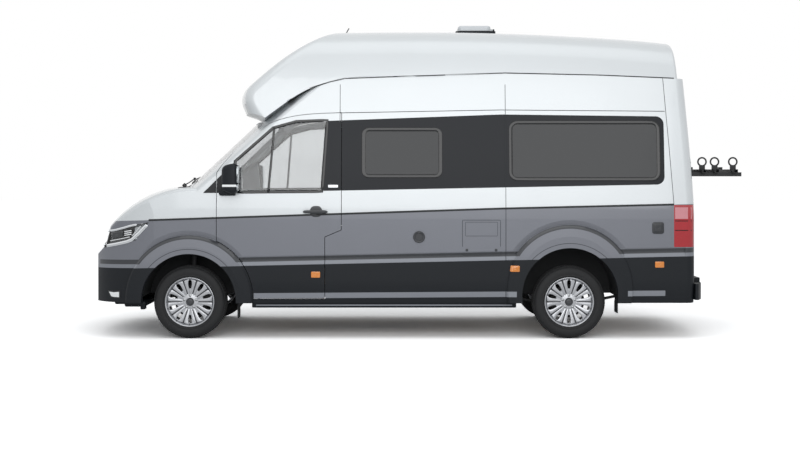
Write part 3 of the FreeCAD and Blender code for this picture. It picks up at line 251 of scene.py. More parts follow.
    fine = add(tree, "ShaderNodeTexNoise", {"Vector": place, "Scale": 1500.0, "Detail": 1.0})
    soft = add(tree, "ShaderNodeTexNoise", {"Vector": place, "Scale": 2.5, "Detail": 2.0})
    upper_coat = spread(tree, paint.upper, 0.02, soft)
    lower_coat = spread(tree, paint.lower, 0.03, soft)
    coat = add(tree, "ShaderNodeMix", {"Factor": lower, "A": upper_coat, "B": lower_coat},
               data_type="RGBA").outputs["Result"]
    # Painted light and shade over the coats: highlights on the sill and under the crease, shade on the crease
    # and the arch lips.
    for mask, colour in ((sill_highlight, paint.sill_highlight), (crease_shade, paint.crease_shade), (ledge_highlight, paint.ledge_highlight), (lips, paint.crease_shade)):
        coat = add(tree, "ShaderNodeMix", {"Factor": mask, "A": coat, "B": opaque(colour)},
                   data_type="RGBA").outputs["Result"]
    groove = add(tree, "ShaderNodeBump", {"Height": joints, "Distance": 0.004, "Strength": 0.6}, invert=True)
    painted = add(tree, "ShaderNodeBsdfPrincipled", {
        "Base Color": coat, "Metallic": 0.25, "Roughness": 0.38, "IOR": 1.5, "Coat Weight": 0.7,
        "Coat Roughness": 0.06, "Normal": groove})
    grain = add(tree, "ShaderNodeBump", {"Height": fine, "Distance": 0.0002, "Strength": 0.5})
    plastic_colour = spread(tree, paint.cladding, 0.08, fine)
    plastic = add(tree, "ShaderNodeBsdfPrincipled", {
        "Base Color": plastic_colour, "Roughness": 0.5, "Specular IOR Level": 0.25, "Normal": grain})
    film = add(tree, "ShaderNodeBsdfPrincipled", {
        "Base Color": opaque(paint.band), "Roughness": 0.22, "Specular IOR Level": 0.16})
    clad_only = add(tree, "ShaderNodeMath", {0: clad, 1: sill_highlight}, operation="SUBTRACT")
    dark = add(tree, "ShaderNodeMath", {0: clad_only, 1: 0.0}, operation="GREATER_THAN")
    dark = any_of(tree, dark, joints, belt_line)
    shader = add(tree, "ShaderNodeMixShader", {0: band, 1: painted, 2: film})
    shader = add(tree, "ShaderNodeMixShader", {0: dark, 1: shader, 2: plastic})
    output(tree, shader)
    return material


def clear(name, colour, **sockets):
    """Glass or clear plastic: it lets light through in its colour."""
    material, tree = fresh(name)
    feeds = {"Base Color": opaque(colour), "Roughness": 0.03, "Transmission Weight": 1.0, "IOR": 1.5}
    feeds.update({key.replace("_", " "): value for key, value in sockets.items()})
    output(tree, add(tree, "ShaderNodeBsdfPrincipled", feeds))
    return material


# Shapes.

def search_tree(names):
    """One tree of the named panels' faces, for laying trim on them."""
    corners, faces = [], []
    for name in names:
        mesh = nodes[name].data
        first = len(corners)
        corners.extend(v.co.copy() for v in mesh.vertices)
        faces.extend([first + i for i in face.vertices] for face in mesh.polygons)
    return BVHTree.FromPolygons(corners, faces)


body_surface = search_tree(PANELS + GLASS)


def on_body(point, inward, lift=0.0):
    """Where a ray towards the body meets its surface, lifted off along the surface's own normal."""
    inward = Vector(inward)
    start = Vector(point) - inward * (Vector(point).dot(inward) + 6.0)
    hit, normal = body_surface.ray_cast(start, inward)[:2]
    if hit is None:
        raise ValueError(f"no panel behind {tuple(round(c, 3) for c in point)}")
    if normal.dot(inward) > 0:
        normal.negate()
    return hit + normal * lift


def finish_piece(name, shape, material, body="van", smooth=30.0):
    """Makes a bmesh an object with its material, its body and smooth shading up to an angle in degrees."""
    bmesh.ops.recalc_face_normals(shape, faces=shape.faces)
    mesh = bpy.data.meshes.new(name)
    shape.to_mesh(mesh)
    shape.free()
    mesh.materials.append(material)
    mesh.shade_smooth()
    mesh.set_sharp_from_angle(angle=math.radians(smooth))
    piece = bpy.data.objects.new(name, mesh)
    bpy.context.scene.collection.objects.link(piece)
    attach(piece, body)
    return piece


def soften(shape, width, segments=2, angle=30.0):
    """Rounds every edge that turns by more than an angle, in degrees."""
    sharp = [e for e in shape.edges if e.is_manifold and e.calc_face_angle(0) > math.radians(angle)]
    bmesh.ops.bevel(shape, geom=sharp, offset=width, offset_type="OFFSET", affect="EDGES", segments=segments,
                    profile=0.5, material=-1, clamp_overlap=True)


def block(shape, low, high, round_by=0.0, segments=2):
    """A box between two corners, its edges rounded."""
    part = bmesh.new()
    bmesh.ops.create_cube(part, size=1.0)
    low, high = Vector(low), Vector(high)
    bmesh.ops.scale(part, vec=high - low, verts=part.verts)
    bmesh.ops.translate(part, vec=(low + high) / 2, verts=part.verts)
    if round_by:
        soften(part, round_by, segments)
    merge_in(shape, part)


def merge_in(shape, part):
    """Moves a finished bmesh into a larger one."""
    mesh = bpy.data.meshes.new("part")
    part.to_mesh(mesh)
    part.free()
    shape.from_mesh(mesh)
    bpy.data.meshes.remove(mesh)


def side_block(shape, side, low, high, round_by=0.0, segments=2):
    """A block on one side: its corners are stations, distances from the van's middle and heights."""
    (s0, y0, z0), (s1, y1, z1) = low, high
    y0, y1 = sorted((side * y0, side * y1))
    block(shape, at(s0, y0, z0), at(s1, y1, z1), round_by, segments)


def thicken(part, faces, push):
    """Pushes faces out into a solid."""
    pushed = bmesh.ops.extrude_face_region(part, geom=faces)
    corners = [g for g in pushed["geom"] if isinstance(g, bmesh.types.BMVert)]
    bmesh.ops.translate(part, vec=Vector(push), verts=corners)
    bmesh.ops.recalc_face_normals(part, faces=part.faces)


def plate(shape, outline, push, round_by=0.0, segments=2):
    """A flat outline pushed into a solid, its edges rounded."""
    part = bmesh.new()
    face = part.faces.new([part.verts.new(p) for p in outline])
    thicken(part, [face], push)
    if round_by:
        soften(part, round_by, segments)
    merge_in(shape, part)


# How far laid trim reaches into the body, in metres.
SINK = 0.001


def laid(shape, rows, inward, depth, round_by=0.0):
    """A sheet laid on the body: rows of points dropped on its surface, raised by a depth and given a body."""
    part = bmesh.new()
    grid = [[part.verts.new(on_body(p, inward, depth)) for p in row] for row in rows]
    for above, below in zip(grid, grid[1:]):
        for i in range(len(above) - 1):
            part.faces.new((above[i], above[i + 1], below[i + 1], below[i]))
    bmesh.ops.remove_doubles(part, verts=part.verts, dist=0.00005)
    part.normal_update()
    if sum(f.normal.dot(Vector(inward)) * f.calc_area() for f in part.faces) > 0:
        bmesh.ops.reverse_faces(part, faces=part.faces)
    bmesh.ops.solidify(part, geom=part.faces[:], thickness=depth + SINK)
    bmesh.ops.recalc_face_normals(part, faces=part.faces)
    if round_by:
        soften(part, round_by, 2, 50)
    merge_in(shape, part)


def strip(shape, middle, width, inward, depth, round_by=0.0):
    """A strip of some width along a line of points."""
    rows = []
    for offset in (width / 2, -width / 2):
        row = []
        for i, point in enumerate(middle):
            before, after = middle[max(i - 1, 0)], middle[min(i + 1, len(middle) - 1)]
            way = (Vector(after) - Vector(before)).normalized()
            across = way.cross(Vector(inward)).normalized()
            row.append(Vector(point) + across * offset)
        rows.append(row)
    laid(shape, rows, inward, depth, round_by=round_by)


def divided(start, end, step=0.06):
    """Points along a straight run, no further apart than a step."""
    start, end = Vector(start), Vector(end)
    count = max(math.ceil((end - start).length / step), 1)
    return [start.lerp(end, i / count) for i in range(count + 1)]


def through(corners, step=0.06):
    """Points along a run with corners."""
    points = [Vector(corners[0])]
    for start, end in zip(corners, corners[1:]):
        points += divided(start, end, step)[1:]
    return points


def around(corners, step):
    """Points round a closed outline with corners."""
    return through([*corners, corners[0]], step)[:-1]


def ring_on(shape, outline, grow, width, inward, depth, round_by=0.0):
    """A frame round a closed outline: its outer edge stands grow outside the outline."""
    middle = sum((Vector(p) for p in outline), Vector()) / len(outline)
    rows = []
    for offset in (grow, grow - width):
        row = []
        for i, point in enumerate(outline):
            before, after = Vector(outline[i - 1]), Vector(outline[(i + 1) % len(outline)])
            way = (after - before).normalized()
            across = way.cross(Vector(inward)).normalized()
            if across.dot(Vector(point) - middle) < 0:
                across.negate()
            row.append(Vector(point) + across * offset)
        rows.append(row + row[:1])
    laid(shape, rows, inward, depth, round_by=round_by)


def patch(shape, outline, inward, depth, round_by=0.0):
    """A rounded plate laid on the body, filled from its outline in to a smaller copy of it."""
    middle = sum((Vector(p) for p in outline), Vector()) / len(outline)
    rows = [[middle.lerp(Vector(p), f) for p in [*outline, outline[0]]] for f in (1.0, 0.66, 0.33, 0.02)]
    laid(shape, rows, inward, depth, round_by=round_by)


def side_outline(s0, z0, s1, z1, radius):
    """A rounded rectangle of the side view, its straight runs divided so that it follows a curved wall."""
    return around([at(u, 0.0, v) for u, v in rounded_outline(s0, z0, s1, z1, radius, 5)], 0.09)


def bar(shape, start, end, radius, sides=12, round_by=0.0):
    """A round bar from one point to another."""
    start, end = Vector(start), Vector(end)
    way = end - start
    part = bmesh.new()
    bmesh.ops.create_cone(part, cap_ends=True, cap_tris=False, segments=sides, radius1=radius, radius2=radius,
                          depth=way.length)
    if round_by:
        soften(part, round_by, 2, 60)
    turn = way.to_track_quat("Z", "Y").to_matrix().to_4x4()
    bmesh.ops.transform(part, matrix=Matrix.Translation((start + end) / 2) @ turn, verts=part.verts)
    merge_in(shape, part)


def lathe(shape, profile, centre, axis, steps=64):
    """A profile of (radius, distance along the axis) points, spun round the axis."""
    part = bmesh.new()
    corners = [part.verts.new((r, 0.0, d)) for r, d in profile]
    edges = [part.edges.new(pair) for pair in zip(corners, corners[1:])]
    bmesh.ops.spin(part, geom=corners + edges, cent=(0, 0, 0), axis=(0, 0, 1), angle=math.tau, steps=steps,
                   use_merge=True, use_normal_flip=False)
    bmesh.ops.remove_doubles(part, verts=part.verts, dist=0.00002)
    bmesh.ops.recalc_face_normals(part, faces=part.faces)
    turn = Vector(axis).to_track_quat("Z", "Y").to_matrix().to_4x4()
    bmesh.ops.transform(part, matrix=Matrix.Translation(Vector(centre)) @ turn, verts=part.verts)
    merge_in(shape, part)


def rounded_outline(low_u, low_v, high_u, high_v, radius, steps=6):
    """The corners of a rounded rectangle as (u, v) pairs."""
    points = []
    for cu, cv, start in ((high_u - radius, high_v - radius, 0), (low_u + radius, high_v - radius, 90),
                          (low_u + radius, low_v + radius, 180), (high_u - radius, low_v + radius, 270)):
        for i in range(steps + 1):
            angle = math.radians(start + 90 * i / steps)
            points.append((cu + radius * math.cos(angle), cv + radius * math.sin(angle)))
    return points


def tube(shape, points, radius):
    """A tube along a smooth path through a few points."""
    curve = bpy.data.curves.new("path", "CURVE")
    curve.dimensions = "3D"
    spline = curve.splines.new("NURBS")
    spline.points.add(len(points) - 1)
    for control, point in zip(spline.points, points):
        control.co = (*point, 1.0)
    spline.order_u = 3
    spline.use_endpoint_u = True
    curve.bevel_depth = radius
    curve.bevel_resolution = 2
    curve.use_fill_caps = True
    curve.resolution_u = 6
    path = bpy.data.objects.new("path", curve)
    mesh = bpy.data.meshes.new_from_object(path)
    shape.from_mesh(mesh)
    bpy.data.objects.remove(path)
    bpy.data.meshes.remove(mesh)


# Sizes and colours that a user would change.

def shade(name, code, about):
    """A colour that a user can change, with its sRGB hex default."""
    return bpy.props.FloatVectorProperty(name=name, description=about, subtype="COLOR", size=3, min=0.0, max=1.0,
                                         default=linear(code))


class PaintSettings(bpy.types.PropertyGroup):
    """Colours of the body's finishes."""
    upper: shade("Upper Coat", "CBD0D3", "Paint above the belt line")
    lower: shade("Lower Coat", "6F727A", "Paint below the belt line")
    cladding: shade("Cladding", "14181D", "Moulded plastic along the foot of the body")
    band: shade("Window Band", "191C21", "Gloss film round the side windows")
    # Painted shade: the crease's upper face and the arch lips are coloured as if in shade.
    crease_shade: shade("Crease", "2E3136", "Shaded face of the crease and the arch lips")
    # Painted highlight: the face under the crease is coloured as if lit.
    ledge_highlight: shade("Ledge", "7A7E86", "Lit face under the crease")
    # Painted highlight: the sill's upper face is coloured as if lit.
    sill_highlight: shade("Sill", "7E828A", "Upper face of the sill")
    glass: shade("Dark Glass", "1E2124", "Tinted living area windows")
    rubber: shade("Tyre", "0A0C0F", "Tyre rubber")
    alloy: shade("Alloy", "B4B6BA", "Painted alloy wheels")


class StageSettings(bpy.types.PropertyGroup):
    """Floor and light."""
    floor: shade("Floor", "F4F5F6", "Plain floor under the van")
    sky: bpy.props.FloatProperty(name="Sky", description="Even light from all round", default=0.6, min=0.0)
    key: bpy.props.FloatProperty(name="Key Light", description="Power of the large lamp overhead", default=115.0,
                                 min=0.0, subtype="POWER")
    fill: bpy.props.FloatProperty(name="Side Light", description="Power of the lamp beside the camera",
                                  default=225.0, min=0.0, subtype="POWER")


# Pieces.

def lamp(name, place, aim, size, power, scene):
    """A rectangular lamp turned towards a point."""
    light = bpy.data.lights.new(name, "AREA")
    light.shape = "RECTANGLE"
    light.size, light.size_y = size
    light.energy = power
    holder = bpy.data.objects.new(name, light)
    holder.location = place
    holder.rotation_euler = (Vector(aim) - Vector(place)).to_track_quat("-Z", "Y").to_euler()
    scene.collection.objects.link(holder)


class VAN_OT_stage(bpy.types.Operator):
    """Make the floor, the lamps and the camera of the photograph"""
    bl_idname = "van.stage"
    bl_label = "Stage"

    def execute(self, context):
        scene = context.scene
        settings = scene.van_stage
        scene.view_settings.view_transform = "Standard"
        shape = bmesh.new()
        bmesh.ops.create_grid(shape, x_segments=1, y_segments=1, size=60.0)
        mesh = bpy.data.meshes.new("floor")
        shape.to_mesh(mesh)
        shape.free()
        floor = bpy.data.objects.new("floor", mesh)
        scene.collection.objects.link(floor)
        material, tree = fresh("matt_studio_floor")
        rays = add(tree, "ShaderNodeLightPath")
        # Seen directly, the floor is brighter than it is lit, so that it meets the white beyond it and keeps
        # a dark shadow.
        seen = tuple(1.9 * c for c in settings.floor) + (1.0,)
        colour = add(tree, "ShaderNodeMix", {
            "Factor": rays.outputs["Is Camera Ray"], "A": opaque(settings.floor), "B": seen},
            data_type="RGBA").outputs["Result"]
        output(tree, add(tree, "ShaderNodeBsdfDiffuse", {"Color": colour}))
        mesh.materials.append(material)

        world = bpy.data.worlds.new("studio")
        scene.world = world
        world.use_nodes = True
        tree = world.node_tree
        tree.nodes.clear()
        rays = add(tree, "ShaderNodeLightPath")
        seen = any_of(tree, rays.outputs["Is Camera Ray"], rays.outputs["Is Transmission Ray"],
                      rays.outputs["Is Glossy Ray"])
        strength = add(tree, "ShaderNodeMix", {"Factor": seen, 2: settings.sky, 3: 1.0})
        back = add(tree, "ShaderNodeBackground", {"Color": opaque(linear("FFFFFF")), "Strength": strength})
        add(tree, "ShaderNodeOutputWorld", {"Surface": back})
        lamp("overhead_lamp", (0.0, -3.0, 7.5), (0.0, 0.0, 1.0), (9.0, 5.0), settings.key, scene)
        lamp("side_lamp", (0.2, -9.0, 3.6), (0.1, 0.0, 1.4), (8.0, 4.0), settings.fill, scene)

        view = bpy.data.cameras.new("photograph")
        view.lens = 56.6
        view.sensor_width = 36.0
        view.shift_y = -0.064
        camera = bpy.data.objects.new("photograph", view)
        camera.location = (-0.162, -13.02, 1.58)
        camera.rotation_euler = (math.radians(90), 0.0, 0.0)
        scene.collection.objects.link(camera)
        scene.camera = camera
        return {"FINISHED"}


def dress(material, *names):
    """Gives CAD nodes a material in place of the plain ones that they came with."""
    for name in names:
        mesh = nodes[name].data
        mesh.materials.clear()
        mesh.materials.append(material)


# Finishes of the solids that have one plain colour: name, colour, roughness, grain and its depth in
# millimetres, other sockets, and the nodes that wear it.
FINISHES = (
    # Polyethylene liners are coarse and dull, so the arches stay nearly black.
    ("black_arch_liner_plastic", "0E1114", 0.75, 2.5, 0.1, {}, ("wheel_arch_liners", "mudflaps")),
    # Solid red acrylic under a polished face: deep red with a sharp highlight.
    ("red_acrylic_lens", "A5121F", 0.12, 3.0, 0.02, {"vary": 0.1, "IOR": 1.49, "Coat_Weight": 1.0},
     ("tail_lamps",)),
    # Chassis parts carry black wax over paint, duller and browner than the trim.
    ("waxed_chassis_steel", "1D1E20", 0.6, 12.0, 0.2, {"vary": 0.25},
     ("chassis_rails", "front_suspension", "rear_axle", "leaf_springs", "knuckle_left", "knuckle_right",
      "engine_block")),
    # Blow-moulded polyethylene: black with a waxy, slightly rippled face.
    ("moulded_polyethylene_tank", "16181B", 0.5, 4.0, 0.1, {}, ("fuel_tank",)),
    # Aluminised sheet steel that has been hot: grey metal, mottled and half matt.
    ("aluminised_exhaust_steel", "7D7A75", 0.45, 8.0, 0.05, {"vary": 0.2, "Metallic": 0.9}, ("exhaust",)),
    # Printed vinyl on the floor: warm brown, broken up like boards.
    ("floor_vinyl_planks", "8B7862", 0.5, 30.0, 0.1, {"vary": 0.15}, ("floor",)),
    # Needled felt: grey and quite without gloss.
    ("needle_felt_lining", "6B6E73", 0.9, 1.5, 0.3, {}, ("bulkhead",)),
    # Soft-touch moulding with a fine leather grain, dark so that it doesn't show in the windscreen.
    ("soft_touch_dashboard", "2A2D31", 0.65, 0.9, 0.05, {}, ("dashboard", "steering_wheel")),
    # Lacquered oak veneer: pale, with a soft sheen and faint bands.
    ("lacquered_light_oak", "C9B79C", 0.4, 20.0, 0.05, {"vary": 0.12}, ("kitchen_unit",)),
    # Powder coat: black with a slight orange peel.
    ("powder_coated_steel", "121417", 0.45, 0.8, 0.02, {}, ("bike_carrier",)),
    # Opal acrylic: milky and pale, with a smooth face.
    ("milky_skylight_acrylic", "C9CED2", 0.3, 5.0, 0.02, {}, ("skylight_lid",)),
)


class VAN_OT_frame_finishes(bpy.types.Operator):
    """Paint the body panels and give each other solid its own finish"""
    bl_idname = "van.frame_finishes"
    bl_label = "Frame Finishes"

    def execute(self, context):
        paint = context.scene.van_paint
        dress(body_paint(paint), *PAINTED)
        for name, code, roughness, grain, depth, others, worn_by in FINISHES:
            dress(grained(name, linear(code), roughness, grain, depth, **others), *worn_by)
        # Polypropylene mouldings: a fine leather grain that scatters light, so they look matt and charcoal.
        dress(grained("grained_polypropylene", paint.cladding, 0.52, 0.7, 0.02, Specular_IOR_Level=0.25),
              "rear_bumper", "grille", "antenna", "skylight_frame")
        # Laminated glass, a neutral pale grey that shows the cab, and tinted acrylic that hides the living area.
        dress(clear("laminated_windscreen_glass", linear("D9DBDC")), "windscreen", "cab_door_glass_left",
              "cab_door_glass_right")
        dress(grained("tinted_acrylic_window", paint.glass, 0.1, 400.0, 0.0, vary=0.03, Specular_IOR_Level=0.3,
                      Coat_Weight=0.1), "camper_windows", "rear_door_glass_left", "rear_door_glass_right")
        # Moulded polycarbonate: clear and bright, bending light a little more than glass.
        dress(clear("polycarbonate_lens", linear("F2F5F7"), IOR=1.58), "headlamps")
        return {"FINISHED"}


CORNERS = (("front_left", 0.0, LEFT), ("front_right", 0.0, RIGHT), ("rear_left", WHEELBASE, LEFT),
           ("rear_right", WHEELBASE, RIGHT))


class WheelSettings(bpy.types.PropertyGroup):
    """Sizes of the tyres and rims."""
    blocks: bpy.props.IntProperty(name="Tread Blocks", description="Blocks round each tread rib", default=90,
                                  min=24)
    groove: bpy.props.FloatProperty(name="Groove Depth", description="Depth of the tread", default=0.006,
                                    min=0.0, unit="LENGTH")
    spokes: bpy.props.IntProperty(name="Spokes", description="Spokes of each rim", default=10, min=3)


def wheel_centre(station, side):
    """The middle of a wheel, on its axle."""
    return at(station, side * HALF_TRACK, WHEEL_RADIUS)


def tyre_piece(word, station, side, wheels, rubber):
    """A road tyre: rounded sidewalls with a rim guard, and a tread of five ribs cut into blocks."""
    groove = wheels.groove
    crown = WHEEL_RADIUS - groove
    half = [(crown - 0.0005, 0.006), (crown - 0.001, 0.018), (crown - 0.006, 0.020), (crown - 0.006, 0.026),
            (crown - 0.001, 0.028), (crown - 0.002, 0.052), (crown - 0.007, 0.054), (crown - 0.007, 0.060),
            (crown - 0.003, 0.062), (crown - 0.008, 0.084), (0.331, 0.095), (0.322, 0.1035), (0.309, 0.109),
            (0.292, 0.1122), (0.276, 0.1115), (0.262, 0.1085), (0.258, 0.1105), (0.252, 0.1100), (0.247, 0.1040),
            (0.2385, 0.0975), (0.2365, 0.090)]
    profile = [(0.2365, -0.06)] + [(r, -d) for r, d in half[::-1]] + half + [(0.2365, 0.06), (0.2365, -0.06)]
    shape = bmesh.new()
    centre = wheel_centre(station, side)
    lathe(shape, profile, centre, (0, side, 0), wheels.blocks)
    ribs = []
    for face in shape.faces:
        middle = face.calc_center_median() - centre
        radius = math.hypot(middle.x, middle.z)
        if radius > crown - 0.0065 and abs(middle.y) < 0.084 and face.calc_area() > 0.0002:
            ribs.append(face)
    bmesh.ops.recalc_face_normals(shape, faces=shape.faces)
    bmesh.ops.inset_individual(shape, faces=ribs, thickness=0.0022, depth=groove, use_even_offset=True)
    piece = finish_piece(f"tyre_with_tread_{word}", shape, rubber, f"wheel_{word}", smooth=32)
    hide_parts(f"tyre_{word}")


# Half a spoke, from the hub out: radii with the distances of its groove's edge and of its own edge.
SPOKE_INNER = ((0.060, 0.0045), (0.120, 0.0050), (0.165, 0.0055), (0.196, 0.0065), (0.2105, 0.0070))
SPOKE_OUTER = ((0.070, 0.0215), (0.120, 0.0290), (0.165, 0.0350), (0.190, 0.0440), (0.2105, 0.0620))


def spoke_height(reach):
    """How far out the spokes' faces stand at a radius."""
    return 0.064 + 0.075 * max(reach - 0.05, 0)


def spoke(shape, turn):
    """One broad spoke: a rail along each side of a groove, flared into the rim."""
    for side in (1, -1):
        part = bmesh.new()
        outline = SPOKE_INNER + SPOKE_OUTER[::-1]
        face = part.faces.new([part.verts.new((u, side * v, spoke_height(u))) for u, v in outline])
        thicken(part, [face], (0, 0, -0.022))
        soften(part, 0.0032, 2, 40)
        bmesh.ops.transform(part, matrix=Matrix.Rotation(turn, 4, "Z"), verts=part.verts)
        merge_in(shape, part)


def groove_floor(shape, turn):
    """The dark painted floor of a spoke's groove, which also stands in for the groove's shade."""
    outline = [(0.062, -0.0065), (0.206, -0.0095), (0.206, 0.0095), (0.062, 0.0065)]
    part = bmesh.new()
    face = part.faces.new([part.verts.new((u, v, spoke_height(u) - 0.007)) for u, v in outline])
    thicken(part, [face], (0, 0, -0.012))
    bmesh.ops.transform(part, matrix=Matrix.Rotation(turn, 4, "Z"), verts=part.verts)
    merge_in(shape, part)


def stand_on_axle(part, station, side):
    """Turns a piece made round the Z axis to face out from its axle."""
    bmesh.ops.transform(part, matrix=Matrix.Rotation(math.radians(90), 4, "X"), verts=part.verts)
    if side == RIGHT:
        bmesh.ops.transform(part, matrix=Matrix.Rotation(math.pi, 4, "Z"), verts=part.verts)
    bmesh.ops.translate(part, vec=wheel_centre(station, side), verts=part.verts)


def rim_piece(word, station, side, wheels, alloy):
    """A cast rim: a deep barrel, grooved spokes, and a hub whose web closes the inner half between them."""
    shape = bmesh.new()
    barrel = [(0.2355, 0.0900), (0.2360, 0.0960), (0.2330, 0.0970), (0.2280, 0.0950), (0.2230, 0.0860),
              (0.2190, 0.0700), (0.2070, 0.0600), (0.2060, -0.0500), (0.2200, -0.0850), (0.2300, -0.0965),
              (0.2355, -0.0960), (0.2355, -0.0860), (0.2250, -0.0780), (0.2120, -0.0500), (0.2120, 0.0560),
              (0.2260, 0.0660), (0.2355, 0.0900)]
    lathe(shape, barrel, (0, 0, 0), (0, 0, 1), 96)
    hub = [(0.0335, 0.028), (0.0335, 0.0640), (0.0400, 0.0700), (0.0500, 0.0690), (0.0780, 0.0640),
           (0.0800, 0.0590), (0.1240, 0.0600), (0.1290, 0.0560), (0.1270, 0.0360), (0.0780, 0.0300),
           (0.0335, 0.028)]
    lathe(shape, hub, (0, 0, 0), (0, 0, 1), 60)
    for i in range(wheels.spokes):
        spoke(shape, math.tau * i / wheels.spokes)
    stand_on_axle(shape, station, side)
    piece = finish_piece(f"cast_rim_{word}", shape, alloy, f"wheel_{word}", smooth=40)
    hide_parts(f"rim_{word}")


def hub_details(word, station, side, wheels, zinc, cap_plastic):
    """Five domed bolt heads, the valve, the centre cap and the dark painted floors of the spokes' grooves, which
    also stand in for the grooves' shade.
    """
    shape = bmesh.new()
    middle = wheel_centre(station, side)
    for i in range(5):
        angle = math.tau * i / 5 + math.pi / 2
        away = Vector((math.cos(angle), 0, math.sin(angle))) * 0.060
        head = [(0.0, 0.0775), (0.0045, 0.0772), (0.0090, 0.0750), (0.0105, 0.0700), (0.0135, 0.0690),
                (0.0140, 0.0600), (0.0, 0.0600)]
        lathe(shape, head, middle + away, (0, side, 0), 12)
    bar(shape, middle + Vector((0.0, side * 0.072, -0.204)), middle + Vector((0.0, side * 0.093, -0.196)), 0.004,
        10, 0.001)
    finish_piece(f"wheel_bolts_{word}", shape, zinc, f"wheel_{word}")
    shape = bmesh.new()
    cap = [(0.0, 0.0790), (0.012, 0.0788), (0.022, 0.0780), (0.027, 0.0762), (0.0285, 0.0745), (0.0310, 0.0755),
           (0.0330, 0.0740), (0.0330, 0.0600), (0.0, 0.0600)]
    lathe(shape, cap, middle, (0, side, 0), 40)
    finish_piece(f"centre_cap_{word}", shape, cap_plastic, f"wheel_{word}")
    shape = bmesh.new()
    # The grooves' floors: dark paint that also stands in for the grooves' shade.
    for i in range(wheels.spokes):
        groove_floor(shape, math.tau * i / wheels.spokes)
    stand_on_axle(shape, station, side)
    finish_piece(f"spoke_groove_paint_and_shade_{word}", shape, cap_plastic, f"wheel_{word}")


class VAN_OT_wheels(bpy.types.Operator):
    """Make the four tyres, rims, bolts and centre caps"""
    bl_idname = "van.wheels"
    bl_label = "Wheels"

    def execute(self, context):
        wheels = context.scene.van_wheels
        paint = context.scene.van_paint
        # Carbon-black rubber from a steel mould: deep charcoal, dull, with the mould's fine sparkle left in it.
        rubber = grained("vulcanised_tyre_rubber", paint.rubber, 0.72, 1.2, 0.06, vary=0.12, IOR=1.52)
        # Aluminium cast, painted silver and lacquered: bright broad highlights without a mirror image.
        alloy = grained("silver_lacquered_cast_aluminium", paint.alloy, 0.34, 0.5, 0.003, vary=0.03,
                        Metallic=0.8, Coat_Weight=0.4, Coat_Roughness=0.08)
        # Zinc plate on forged heads: small bright points.
        zinc = grained("zinc_plated_bolt_steel", linear("9C9EA0"), 0.3, 0.6, 0.01, Metallic=1.0)
        # Painted ABS, half matt, so that caps and grooves read as dark; in the grooves the dark paint also
        # stands in for their shade.
        cap_plastic = grained("satin_black_cap_plastic", linear("3A3C40"), 0.35, 0.5, 0.004, IOR=1.5)
        for word, station, side in CORNERS:
            tyre_piece(word, station, side, wheels, rubber)
            rim_piece(word, station, side, wheels, alloy)
            hub_details(word, station, side, wheels, zinc, cap_plastic)
        return {"FINISHED"}


def belt_height(station):
    """The height of the belt line at a station."""
    return min(start + slope * station for slope, start in BELT)


def run(*pairs):
    """Points of the side view from pairs of a station and a height."""
    return [at(s, 0.0, z) for s, z in pairs]


def steps_between(start, end, step=0.06):
    """Even numbers from start to end, no further apart than a step."""
    count = max(math.ceil((end - start) / step), 1)
    return [start + (end - start) * i / count for i in range(count + 1)]


DOOR_FRONT, DOOR_REAR = 0.264, 1.457
CAB_WINDOW = [(0.471, 1.402), (1.273, 1.410), (1.321, 2.095), (1.024, 2.084), (0.800, 2.022), (0.437, 1.700)]


def wall_body(side, station):
    """The body that a point of the side belongs to."""
    if DOOR_FRONT < station < DOOR_REAR:
        return "cab_door_left" if side == LEFT else "cab_door_right"
    return "van"


